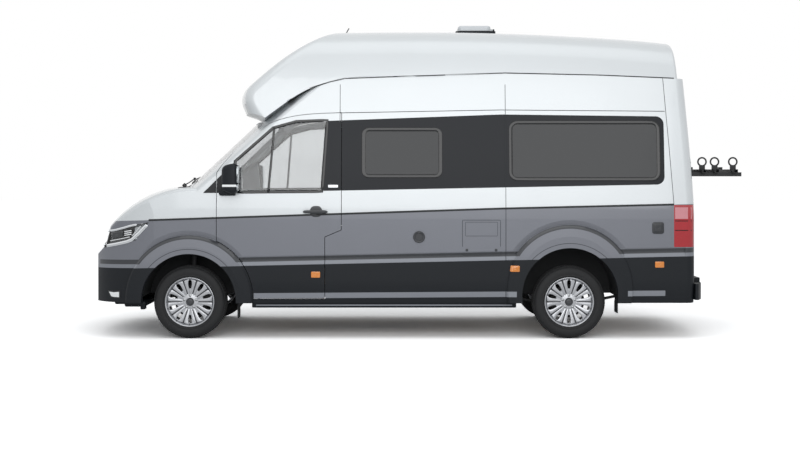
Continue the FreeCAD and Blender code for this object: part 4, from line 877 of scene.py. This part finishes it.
class VAN_OT_belt_and_seals(bpy.types.Operator):
    """Make the belt strips, the roof joint's seals and the window frames"""
    bl_idname = "van.belt_and_seals"
    bl_label = "Belt Strips and Seals"

    def execute(self, context):
        # Extruded EPDM: a matt black rubber that takes no highlight but at its rounded edge.
        seal = grained("extruded_epdm_seal", linear("15181B"), 0.62, 1.0, 0.02, IOR=1.5)
        # Acrylic trim polished in its mould: black with a clean reflection.
        gloss = grained("gloss_black_acrylic_trim", linear("101215"), 0.14, 300.0, 0.0, vary=0.03, IOR=1.49)
        for side, word in SIDES:
            inward = (0, -side, 0)
            spans = ((-0.378, DOOR_FRONT - 0.004, "van"),
                     (DOOR_FRONT + 0.004, DOOR_REAR - 0.004, f"cab_door_{word}"),
                     (DOOR_REAR + 0.004, 4.630, "van"))
            for i, (start, end, body) in enumerate(spans):
                shape = bmesh.new()
                middle = run(*((s, belt_height(s)) for s in steps_between(start, end)))
                strip(shape, middle, 0.018, inward, 0.004, 0.0015)
                finish_piece(f"belt_strip_{word}_{i}", shape, seal, body, smooth=35)
            shape = bmesh.new()
            joint = run((0.930, 2.272), (1.148, 2.401), (1.341, 2.464), (1.486, 2.498), (2.017, 2.517),
                        (3.031, 2.551), (3.949, 2.531), (4.655, 2.502))
            strip(shape, through(joint), 0.009, inward, 0.002)
            finish_piece(f"roof_joint_seal_{word}", shape, seal, smooth=35)
            shape = bmesh.new()
            for window in ((1.663, 1.552, 2.410, 2.012, 0.055), (3.071, 1.523, 4.500, 2.079, 0.070)):
                ring_on(shape, side_outline(*window), 0.010, 0.034, inward, 0.007, 0.002)
            finish_piece(f"camper_window_frames_{word}", shape, gloss, smooth=35)
            shape = bmesh.new()
            ring_on(shape, around(run(*CAB_WINDOW), 0.07), 0.012, 0.030, inward, 0.005, 0.0015)
            strip(shape, divided(at(0.759, 0.0, 1.400), at(0.812, 0.0, 2.026)), 0.022, inward, 0.006, 0.002)
            finish_piece(f"cab_window_frame_{word}", shape, gloss, f"cab_door_{word}", smooth=35)
            # The dark sail ahead of the window runs over the door's front edge and the pillar.
            door_top = ((0.268, 1.527), (0.31, 1.57), (0.36, 1.622), (0.41, 1.672), (0.446, 1.705))
            pillar_top = ((0.139, 1.400), (0.18, 1.440), (0.22, 1.480), (0.260, 1.520))
            foot = 1.397
            for part, top, body in (("door", door_top, f"cab_door_{word}"), ("pillar", pillar_top, "van")):
                shape = bmesh.new()
                rows = [[at(s, 0, foot + f * (z - foot)) for s, z in top] for f in (1.0, 0.66, 0.33, 0.0)]
                laid(shape, rows, inward, 0.004, round_by=0.001)
                finish_piece(f"{part}_sail_{word}", shape, seal, body, smooth=35)
        return {"FINISHED"}


class VAN_OT_side_fittings(bpy.types.Operator):
    """Make the handles, side lamps, inlet, flaps and plates of the two sides"""
    bl_idname = "van.side_fittings"
    bl_label = "Side Fittings"

    def execute(self, context):
        # Fine-eroded ABS: dark grey with a soft highlight along the grip.
        handle = grained("satin_black_abs", linear("24272C"), 0.38, 0.8, 0.01, IOR=1.54)
        # Amber acrylic over a reflector: orange, lighter and darker by turns, glossy.
        amber = grained("amber_acrylic_lens", linear("D9822B"), 0.12, 3.0, 0.05, vary=0.15, IOR=1.49,
                        Coat_Weight=1.0)
        # Brushed foil: pale metal with a streaked shine.
        silver = grained("brushed_silver_trim", linear("C6C9CC"), 0.3, 0.5, 0.004, Metallic=0.9)
        # The shadow in a narrow gap, drawn as a dull dark line.
        seam = grained("shadowed_panel_gap", linear("2B2D31"), 0.8, 1.0, 0.01)
        for side, word in SIDES:
            inward = (0, -side, 0)
            for i, (station, height) in enumerate(((1.212, 0.618), (3.114, 0.675), (4.493, 0.714))):
                shape = bmesh.new()
                lens = side_outline(station - 0.043, height - 0.0285, station + 0.043, height + 0.0285, 0.008)
                patch(shape, lens, inward, 0.008, 0.002)
                body = wall_body(side, station)
                finish_piece(f"side_marker_{word}_{i}", shape, amber, body, smooth=35)
            handles = [(1.208, 1.218, f"cab_door_{word}")]
            if side == RIGHT:
                handles.append((1.640, 1.232, "van"))
            for i, (station, height, body) in enumerate(handles):
                shape = bmesh.new()
                dish = side_outline(station - 0.050, height - 0.050, station + 0.066, height + 0.055, 0.045)
                patch(shape, dish, inward, 0.004, 0.001)
                face = on_body(at(station, 0, height), inward)
                grip = []
                for u, v in ((-0.120, 0.000), (-0.100, 0.014), (-0.040, 0.017), (0.060, 0.017), (0.100, 0.014),
                             (0.120, 0.004), (0.120, -0.006), (0.100, -0.015), (0.060, -0.017), (-0.040, -0.017),
                             (-0.100, -0.012)):
                    grip.append((face.x + u, face.y + side * 0.016, height + v))
                plate(shape, grip, (0, side * 0.018, 0), 0.006, 3)
                near, far = sorted((face.y - side * 0.004, face.y + side * 0.022))
                for u in (-0.098, 0.098):
                    block(shape, (face.x + u - 0.014, near, height - 0.010),
                          (face.x + u + 0.014, far, height + 0.010), 0.003)
                finish_piece(f"door_handle_{word}_{i}", shape, handle, body)
            shape = bmesh.new()
            patch(shape, side_outline(1.330, 1.448, 1.424, 1.474, 0.004), inward, 0.004, 0.001)
            finish_piece(f"pillar_plate_{word}", shape, silver, wall_body(side, 1.38), smooth=35)
        inward = (0, -LEFT, 0)
        shape = bmesh.new()
        face = on_body(at(2.199, 0, 0.977), inward)
        inlet = [(0.0, 0.0060), (0.036, 0.0060), (0.040, 0.0110), (0.050, 0.0120), (0.056, 0.0090), (0.057, 0.0),
                 (0.057, -0.004), (0.0, -0.004)]
        lathe(shape, inlet, face, (0, LEFT, 0), 40)
        block(shape, face + Vector((-0.012, -0.016, 0.034)), face + Vector((0.012, 0.002, 0.047)), 0.002)
        finish_piece("mains_inlet", shape, handle)
        shape = bmesh.new()
        patch(shape, side_outline(4.423, 1.007, 4.535, 1.119, 0.022), inward, 0.007, 0.002)
        patch(shape, side_outline(4.440, 1.024, 4.518, 1.102, 0.014), inward, 0.011, 0.002)
        finish_piece("water_filler_cap", shape, handle)
        shape = bmesh.new()
        ring_on(shape, side_outline(2.611, 0.800, 2.978, 1.140, 0.012), 0.0, 0.004, inward, 0.0012)
        ring_on(shape, side_outline(2.640, 0.985, 2.950, 1.120, 0.010), 0.0, 0.003, inward, 0.0012)
        finish_piece("service_flap_seams", shape, seam, "van")
        shape = bmesh.new()
        for station in (2.655, 2.934):
            lock = side_outline(station - 0.012, 0.840, station + 0.012, 0.864, 0.006)
            patch(shape, lock, inward, 0.004, 0.001)
        finish_piece("service_flap_locks", shape, handle)
        return {"FINISHED"}


# The front: lamps, grille, bumper, cowl, wipers and mirrors.

def screen_point(y, height, lift):
    """A point on the windscreen, lifted off the glass."""
    slope = (height - 1.448) / 0.945
    return on_body(at(slope - 0.126, y, height), (0.687, 0.0, -0.727), lift)


def mirror_head(shape, side):
    """A mirror's housing, smaller and rounder towards the front."""
    part = bmesh.new()
    bmesh.ops.create_cube(part, size=1.0)
    bmesh.ops.subdivide_edges(part, edges=part.edges[:], cuts=1, use_grid_fill=True)
    bmesh.ops.scale(part, vec=(0.150, 0.176, 0.280), verts=part.verts)
    nose = [v for v in part.verts if v.co.x < -0.01]
    bmesh.ops.scale(part, vec=(1.0, 0.74, 0.78), verts=nose)
    bmesh.ops.translate(part, vec=at(0.408, side * 1.119, 1.536), verts=part.verts)
    soften(part, 0.042, 5, 20)
    merge_in(shape, part)


class VAN_OT_front(bpy.types.Operator):
    """Make the headlamps, grille, bumper details, cowl, wipers and mirrors"""
    bl_idname = "van.front"
    bl_label = "Front"

    def execute(self, context):
        # Chrome on plastic mirrors the studio, with hardly any grain.
        chrome = grained("chromed_lamp_trim", linear("DADDE0"), 0.12, 0.5, 0.001, vary=0.02, Metallic=1.0)
        # Gloss ABS behind the lens, the frosted guides that light up in it, and half matt grille mouldings.
        black = grained("gloss_black_lamp_insert", linear("24272B"), 0.15, 2.0, 0.01, IOR=1.54, Coat_Weight=1.0)
        glow = grained("frosted_light_guide", linear("E9ECEE"), 0.25, 1.0, 0.01, IOR=1.49)
        plastic = grained("satin_black_grille_abs", linear("15171A"), 0.4, 0.8, 0.01, IOR=1.54)
        # White reflective sheet without any lettering.
        blank = grained("reflective_plate_sheet", linear("E6E7E4"), 0.35, 0.6, 0.005, IOR=1.49)
        self.lamps(chrome, black, glow, plastic)
        self.grille(chrome, plastic, blank)
        self.screen(plastic)
        self.mirrors(plastic, glow)
        return {"FINISHED"}

    def lamps(self, chrome, black, glow, plastic):
        for side, word in SIDES:
            inward = (0, -side, 0)
            shape = bmesh.new()
            lower = run((-0.815, 0.884), (-0.706, 0.905), (-0.600, 0.929), (-0.550, 0.948), (-0.470, 1.018),
                        (-0.398, 1.092))
            strip(shape, through(lower, 0.03), 0.030, inward, 0.007, 0.002)
            upper = run((-0.800, 1.028), (-0.716, 1.040), (-0.631, 1.062), (-0.560, 1.083), (-0.500, 1.094))
            strip(shape, through(upper, 0.03), 0.020, inward, 0.006, 0.002)
            strip(shape, through(run((-0.545, 0.985), (-0.500, 1.030), (-0.462, 1.080)), 0.02), 0.010, inward,
                  0.005, 0.0015)
            finish_piece(f"lamp_chrome_{word}", shape, chrome, "van")
            shape = bmesh.new()
            corners = run((-0.765, 0.962), (-0.640, 0.978), (-0.640, 1.034), (-0.765, 1.016))
            patch(shape, around(corners, 0.03), inward, 0.005, 0.001)
            strip(shape, through(run((-0.775, 0.918), (-0.640, 0.944), (-0.560, 0.962)), 0.03), 0.014, inward,
                  0.004, 0.001)
            finish_piece(f"lamp_insert_{word}", shape, black, "van")
            shape = bmesh.new()
            for height in (0.990, 1.008, 1.026):
                strip(shape, through(run((-0.625, height), (-0.552, height + 0.012)), 0.03), 0.009, inward,
                      0.005, 0.0015)
            strip(shape, through(run((-0.775, 0.934), (-0.640, 0.960), (-0.570, 0.976)), 0.03), 0.007, inward,
                  0.005, 0.0015)
            finish_piece(f"lamp_light_bars_{word}", shape, glow, "van")
            shape = bmesh.new()
            patch(shape, run((-0.800, 0.455), (-0.735, 0.452), (-0.668, 0.458), (-0.666, 0.384), (-0.735, 0.384),
                             (-0.775, 0.392)), inward, 0.004, 0.001)
            finish_piece(f"fog_lamp_bezel_{word}", shape, plastic)
            shape = bmesh.new()
            patch(shape, run((-0.785, 0.444), (-0.735, 0.440), (-0.680, 0.446), (-0.678, 0.396), (-0.735, 0.396),
                             (-0.760, 0.402)), inward, 0.009, 0.003)
            finish_piece(f"fog_lamp_{word}", shape, glow, "van")

    def grille(self, chrome, plastic, blank):
        shape = bmesh.new()
        for height, reach in ((1.022, 0.78), (0.955, 0.466), (0.886, 0.80)):
            strip(shape, [at(0, y, height) for y in steps_between(-reach, reach, 0.04)], 0.017, (1, 0, 0), 0.014,
                  0.003)
        finish_piece("grille_bars", shape, chrome, "van")
        shape = bmesh.new()
        for y in steps_between(-0.45, 0.45, 0.03):
            strip(shape, [at(0, y, 0.878), at(0, y, 0.95), at(0, y, 1.024)], 0.005, (1, 0, 0), 0.006)
        for height in (0.908, 0.932, 0.976, 0.999):
            strip(shape, [at(0, y, height) for y in steps_between(-0.455, 0.455, 0.05)], 0.005, (1, 0, 0), 0.007)
        finish_piece("grille_mesh", shape, plastic)
        shape = bmesh.new()
        for height in (0.415, 0.445, 0.475, 0.505):
            strip(shape, [at(0, y, height) for y in steps_between(-0.64, 0.64, 0.06)], 0.010, (1, 0, 0), 0.003)
        block(shape, at(-0.9612, -0.272, 0.573), at(-0.9500, 0.272, 0.707), 0.002)
        finish_piece("bumper_slats", shape, plastic)
        shape = bmesh.new()
        block(shape, at(-0.9620, -0.260, 0.585), at(-0.9550, 0.260, 0.695), 0.001)
        finish_piece("front_plate", shape, blank, "van")

    def screen(self, plastic):
        shape = bmesh.new()
        rows = [[at(station, y, 1.45) for y in steps_between(-0.74, 0.74, 0.08)]
                for station in (-0.150, -0.128, -0.106, -0.084)]
        laid(shape, rows, (0, 0, -1), 0.005, 0.001)
        finish_piece("cowl_panel", shape, plastic)
        for i, pivot in enumerate((-0.60, 0.06)):
            shape = bmesh.new()
            foot = screen_point(pivot, 1.462, 0.004)
            bar(shape, foot, foot + Vector((-0.024, 0, 0.026)), 0.019, 16, 0.004)
            blade = [screen_point(pivot + u, 1.517 + 0.03 * u, 0.014) for u in (0.02, 0.20, 0.40, 0.60)]
            elbow = screen_point(pivot + 0.05, 1.482, 0.034)
            joint = screen_point(pivot + 0.30, 1.524, 0.032)
            tube(shape, [foot + Vector((-0.018, 0, 0.020)), elbow, joint], 0.006)
            tube(shape, blade, 0.008)
            block(shape, joint - Vector((0.010, 0.03, 0.020)), joint + Vector((0.008, 0.03, 0.006)), 0.004)
            finish_piece(f"wiper_{i}", shape, plastic, smooth=40)

    def mirrors(self, plastic, glow):
        # Silvered glass, a nearly perfect mirror.
        glass = grained("silvered_mirror_glass", linear("C9D0D4"), 0.03, 400.0, 0.0, vary=0.01, Metallic=1.0)
        cap = bpy.data.materials["grained_polypropylene"]
        for side, word in SIDES:
            body = f"cab_door_{word}"
            shape = bmesh.new()
            mirror_head(shape, side)
            side_block(shape, side, (0.292, 1.000, 1.372), (0.452, 1.060, 1.432), 0.018, 4)
            side_block(shape, side, (0.330, 1.000, 1.395), (0.445, 1.060, 1.500), 0.024, 4)
            head = finish_piece(f"mirror_{word}_housing", shape, cap, body, smooth=50)
            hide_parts(f"mirror_{word}")
            shape = bmesh.new()
            side_block(shape, side, (0.345, 1.150, 1.456), (0.479, 1.2115, 1.478), 0.005, 3)
            finish_piece(f"mirror_{word}_repeater", shape, glow, body, smooth=50)
            shape = bmesh.new()
            for z0, z1 in ((1.492, 1.652), (1.420, 1.482)):
                face = [at(0.4825, side * u, v) for u, v in rounded_outline(1.045, z0, 1.192, z1, 0.024, 4)]
                plate(shape, face, (0.004, 0, 0))
            finish_piece(f"mirror_{word}_glass", shape, glass, body)


# Foot of the body and the tail.

class VAN_OT_foot(bpy.types.Operator):
    """Make the rails along the foot of the sides and the valance under the nose"""
    bl_idname = "van.foot"
    bl_label = "Foot of the Body"

    def execute(self, context):
        paint = context.scene.van_paint
        # Polypropylene dulled by road dirt, and an anodised edge that catches a thin line of light.
        moulding = grained("scuffed_polypropylene_foot", paint.cladding, 0.55, 0.9, 0.03, Specular_IOR_Level=0.2)
        satin = grained("satin_anodised_step_edge", linear("8A8E95"), 0.4, 0.6, 0.005, Metallic=0.6)
        shape, edge = bmesh.new(), bmesh.new()
        for side in (LEFT, RIGHT):
            side_block(shape, side, (0.600, 0.905, 0.298), (3.130, 0.985, 0.352), 0.010)
            side_block(edge, side, (0.640, 0.983, 0.318), (3.090, 0.987, 0.328), 0.0015)
            side_block(shape, side, (-0.486, 0.820, 0.272), (-0.440, 0.900, 0.310), 0.008)
        block(shape, at(-0.640, -0.900, 0.298), at(-0.435, 0.900, 0.352), 0.014)
        block(shape, at(-0.760, -0.780, 0.310), at(-0.600, 0.780, 0.356), 0.014)
        finish_piece("foot_rails_and_valance", shape, moulding)
        finish_piece("step_edges", edge, satin, "van")
        return {"FINISHED"}


def lamp_band(shape, surface, inward, height, tall):
    """A thin band laid round a tail lamp's side, as far back as a ray meets the lamp."""
    rows = []
    for z in (height + tall / 2, height - tall / 2):
        hits = [surface.ray_cast(at(station, 0.0, z) - inward * 2.0, inward)[0]
                for station in (4.642, 4.68, 4.72, 4.76, 4.80, 4.826)]
        rows.append([hit - inward * 0.0016 for hit in hits if hit is not None])
    part = bmesh.new()
    above, below = [[part.verts.new(p) for p in row[:min(map(len, rows))]] for row in rows]
    for i in range(len(above) - 1):
        part.faces.new((above[i], above[i + 1], below[i + 1], below[i]))
    thicken(part, part.faces[:], inward * 0.0030)
    merge_in(shape, part)


class VAN_OT_tail(bpy.types.Operator):
    """Make the tail's trim: lamp segments, reflectors, window rubbers, handle, blank plate and brake lamp"""
    bl_idname = "van.tail"
    bl_label = "Tail"

    def execute(self, context):
        paint = context.scene.van_paint
        # Matt rubber, eroded plastic, and two acrylics with prisms behind them that break up the reflection.
        rubber = grained("extruded_window_rubber", linear("0D0F12"), 0.6, 1.2, 0.02, Specular_IOR_Level=0.2)
        moulding = grained("moulded_handle_plastic", paint.cladding, 0.45, 0.7, 0.01, Specular_IOR_Level=0.3)
        red = grained("prismatic_red_acrylic", linear("8E0F1A"), 0.2, 2.0, 0.05, IOR=1.49, Coat_Weight=0.6)
        pale = grained("pink_lamp_acrylic", linear("C9828A"), 0.14, 2.0, 0.03, IOR=1.49, Coat_Weight=0.8)
        lamp_surface = search_tree(["tail_lamps"])
        lines, upper, reflectors = bmesh.new(), bmesh.new(), bmesh.new()
        for side in (LEFT, RIGHT):
            inward = Vector((0, -side, 0))
            for height, tall, into in ((1.130, 0.007, lines), (1.040, 0.007, lines), (1.205, 0.110, upper)):
                lamp_band(into, lamp_surface, inward, height, tall)
            side_block(reflectors, side, (4.650, 0.990, 0.588), (4.735, 1.0185, 0.640), 0.006)
        finish_piece("lamp_dividers", lines, rubber, "van")
        finish_piece("upper_lamp_segments", upper, pale, "van")
        finish_piece("rear_reflectors", reflectors, red, "van")

        inward = Vector((-1, 0, 0))
        for side, word in SIDES:
            corners = rounded_outline(-0.2585, 1.500, 0.2585, 2.060, 0.06)
            outline = [at(6.0, side * 0.4085 + u, v) for u, v in corners]
            shape = bmesh.new()
            ring_on(shape, outline, 0.014, 0.020, inward, 0.0035)
            finish_piece(f"rear_window_rubber_{word}", shape, rubber, f"rear_door_{word}")
        shape = bmesh.new()
        face = on_body(at(6.0, 0.105, 1.250), inward).x - FRONT_AXLE
        block(shape, at(face - 0.004, 0.045, 1.200), at(face + 0.006, 0.165, 1.300), 0.004)
        block(shape, at(face + 0.002, 0.055, 1.232), at(face + 0.030, 0.155, 1.262), 0.008)
        finish_piece("rear_door_pull", shape, moulding, "rear_door_right")
        shape = bmesh.new()
        face = on_body(at(6.0, -0.400, 0.900), inward).x - FRONT_AXLE
        block(shape, at(face - 0.002, -0.660, 0.840), at(face + 0.004, -0.140, 0.950), 0.002)
        # Stove-enamelled aluminium: white with a soft gloss.
        enamel = grained("painted_aluminium_plate", linear("E4E6E7"), 0.4, 1.0, 0.003)
        finish_piece("blank_rear_plate", shape, enamel, "rear_door_left")
        shape = bmesh.new()
        rows = [[at(6.0, y / 100.0, z) for y in range(-16, 17, 4)] for z in (2.462, 2.440)]
        laid(shape, rows, inward, 0.006)
        finish_piece("high_brake_lamp", shape, red, "van")
        return {"FINISHED"}


# Soft goods and furniture inside.

# The stuffing's pressure, the frames that it has to settle in, and how far it may move a point, in metres.
PRESSURE, SETTLING_FRAMES, SWELL_CAP = 4.0, 20, 0.014
# How deep and how wide the seams pull in, in metres.
SEAM_DEPTH, SEAM_WIDTH = 0.006, 0.010


def pad(name, shape, cloth, seams=(), voxel=0.016):
    """A padded piece: skinned evenly, blown up as cloth, capped, then pulled in along its seams.

    Each seam is an axis and the place on it where the seam crosses the piece."""
    bmesh.ops.recalc_face_normals(shape, faces=shape.faces)
    mesh = bpy.data.meshes.new(name)
    shape.to_mesh(mesh)
    shape.free()
    piece = bpy.data.objects.new(name, mesh)
    scene = bpy.context.scene
    scene.collection.objects.link(piece)
    skin = piece.modifiers.new("skin", "REMESH")
    skin.mode = "VOXEL"
    skin.voxel_size = voxel
    piece.data = settled(piece)
    before = [v.co.copy() for v in piece.data.vertices]
    blown = piece.modifiers.new("stuffing", "CLOTH")
    blown.settings.use_pressure = True
    blown.settings.uniform_pressure_force = PRESSURE
    blown.settings.effector_weights.gravity = 0.0
    for moment in range(1, SETTLING_FRAMES + 1):
        scene.frame_set(moment)
    piece.data = settled(piece)
    scene.frame_set(1)
    for vertex, start in zip(piece.data.vertices, before):
        moved = vertex.co - start
        if moved.length > SWELL_CAP:
            vertex.co = start + moved * (SWELL_CAP / moved.length)
    for axis, value in seams:
        for vertex in piece.data.vertices:
            gap = (vertex.co[axis] - value) / SEAM_WIDTH
            vertex.co -= vertex.normal * SEAM_DEPTH * math.exp(-gap * gap)
    piece.data.materials.clear()
    piece.data.materials.append(cloth)
    piece.data.shade_smooth()
    finer = piece.modifiers.new("finer", "SUBSURF")
    finer.levels = finer.render_levels = 1
    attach(piece, "van")


def settled(piece):
    """The mesh that a piece's modifiers give, which are then taken off."""
    bpy.context.view_layer.update()
    graph = bpy.context.evaluated_depsgraph_get()
    mesh = bpy.data.meshes.new_from_object(piece.evaluated_get(graph))
    piece.modifiers.clear()
    return mesh


class VAN_OT_interior(bpy.types.Operator):
    """Make the padded front seats, the bench and the bed, with the boxes that carry them"""
    bl_idname = "van.interior"
    bl_label = "Interior"

    def execute(self, context):
        # Woven polyester: dark and dull with a faint bloom at the edges, and a plain cotton cover on the bed.
        cloth = grained("woven_polyester_seat_cloth", linear("34373D"), 0.92, 1.4, 0.25, Sheen_Weight=0.25)
        linen = grained("quilted_cotton_mattress_cover", linear("D8D5CE"), 0.9, 2.0, 0.2, Sheen_Weight=0.15)
        # Birch ply under laminate, and the painted steel of the seats' frames.
        board = grained("laminated_birch_board", linear("B9A88C"), 0.45, 20.0, 0.05, vary=0.1)
        steel = grained("black_seat_frame_steel", linear("17191C"), 0.5, 0.9, 0.02, Metallic=0.4)
        frames = bmesh.new()
        for side, word in SIDES:
            y = side * 0.470
            block(frames, at(0.885, y - 0.185, 0.585), at(1.255, y + 0.185, 0.728), 0.012)
            for offset in (-0.070, 0.070):
                bar(frames, at(1.4325, y + offset, 1.440), at(1.4325, y + offset, 1.570), 0.006)
            shape = bmesh.new()
            block(shape, at(0.815, y - 0.236, 0.745), at(1.320, y + 0.236, 0.866), 0.045, 4)
            pad(f"seat_cushion_{word}", shape, cloth, ((1, y - 0.140), (1, y + 0.140)))
            shape = bmesh.new()
            leaning = ((1.235, 0.855), (1.325, 0.850), (1.455, 1.475), (1.395, 1.482))
            plate(shape, [at(s, y - 0.220, z) for s, z in leaning], (0, 0.440, 0), 0.026, 3)
            pad(f"seat_back_{word}", shape, cloth, ((1, y - 0.130), (1, y + 0.130), (2, 1.340)))
            shape = bmesh.new()
            block(shape, at(1.404, y - 0.120, 1.540), at(1.466, y + 0.120, 1.690), 0.026, 3)
            pad(f"headrest_{word}", shape, cloth, voxel=0.012)
        piece = finish_piece("seat_pedestals", frames, steel, "van")
        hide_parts("seats")
        shape = bmesh.new()
        block(shape, at(1.645, -0.955, 0.585), at(2.195, -0.425, 0.835), 0.006)
        piece = finish_piece("bench_box", shape, board, "van")
        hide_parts("bench_seat")
        shape = bmesh.new()
        block(shape, at(1.655, -0.940, 0.848), at(2.120, -0.435, 0.948), 0.040, 4)
        pad("bench_cushion", shape, cloth, ((1, -0.690),))
        shape = bmesh.new()
        block(shape, at(2.138, -0.940, 0.960), at(2.192, -0.435, 1.428), 0.022, 3)
        pad("bench_back", shape, cloth, ((1, -0.690),))
        shape = bmesh.new()
        block(shape, at(3.155, -0.950, 0.965), at(4.635, 0.950, 1.005), 0.004)
        for side in (LEFT, RIGHT):
            side_block(shape, side, (3.155, 0.442, 0.585), (4.635, 0.478, 0.964), 0.003)
        piece = finish_piece("bed_base", shape, board, "van")
        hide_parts("bed")
        for side, word in SIDES:
            shape = bmesh.new()
            side_block(shape, side, (3.170, 0.012, 1.020), (4.622, 0.945, 1.138), 0.045, 4)
            pad(f"mattress_{word}", shape, linen, ((0, FRONT_AXLE + 3.65), (0, FRONT_AXLE + 4.15)), voxel=0.032)
        return {"FINISHED"}


# The panel and the run.

STEPS = (VAN_OT_stage, VAN_OT_frame_finishes, VAN_OT_wheels, VAN_OT_belt_and_seals, VAN_OT_side_fittings,
         VAN_OT_front, VAN_OT_foot, VAN_OT_tail, VAN_OT_interior)


class VAN_PT_panel(bpy.types.Panel):
    """Lists the van's colours and the steps that dress it"""
    bl_idname = "VAN_PT_panel"
    bl_label = "Camper Van"
    bl_space_type = "VIEW_3D"
    bl_region_type = "UI"
    bl_category = "Camper Van"

    def draw(self, context):
        layout = self.layout
        for group in (context.scene.van_paint, context.scene.van_wheels, context.scene.van_stage):
            for key in group.bl_rna.properties.keys():
                if key not in ("rna_type", "name"):
                    layout.prop(group, key)
        for step in STEPS:
            layout.operator(step.bl_idname)


CLASSES = (PaintSettings, StageSettings, WheelSettings, *STEPS, VAN_PT_panel)


def register():
    for cls in CLASSES:
        bpy.utils.register_class(cls)
    bpy.types.Scene.van_paint = bpy.props.PointerProperty(type=PaintSettings)
    bpy.types.Scene.van_stage = bpy.props.PointerProperty(type=StageSettings)
    bpy.types.Scene.van_wheels = bpy.props.PointerProperty(type=WheelSettings)


def unregister():
    del bpy.types.Scene.van_wheels
    del bpy.types.Scene.van_stage
    del bpy.types.Scene.van_paint
    for cls in reversed(CLASSES):
        bpy.utils.unregister_class(cls)


def main():
    register()
    for step in STEPS:
        getattr(bpy.ops.van, step.bl_idname.split(".")[1])()


if __name__ == "__main__":
    main()
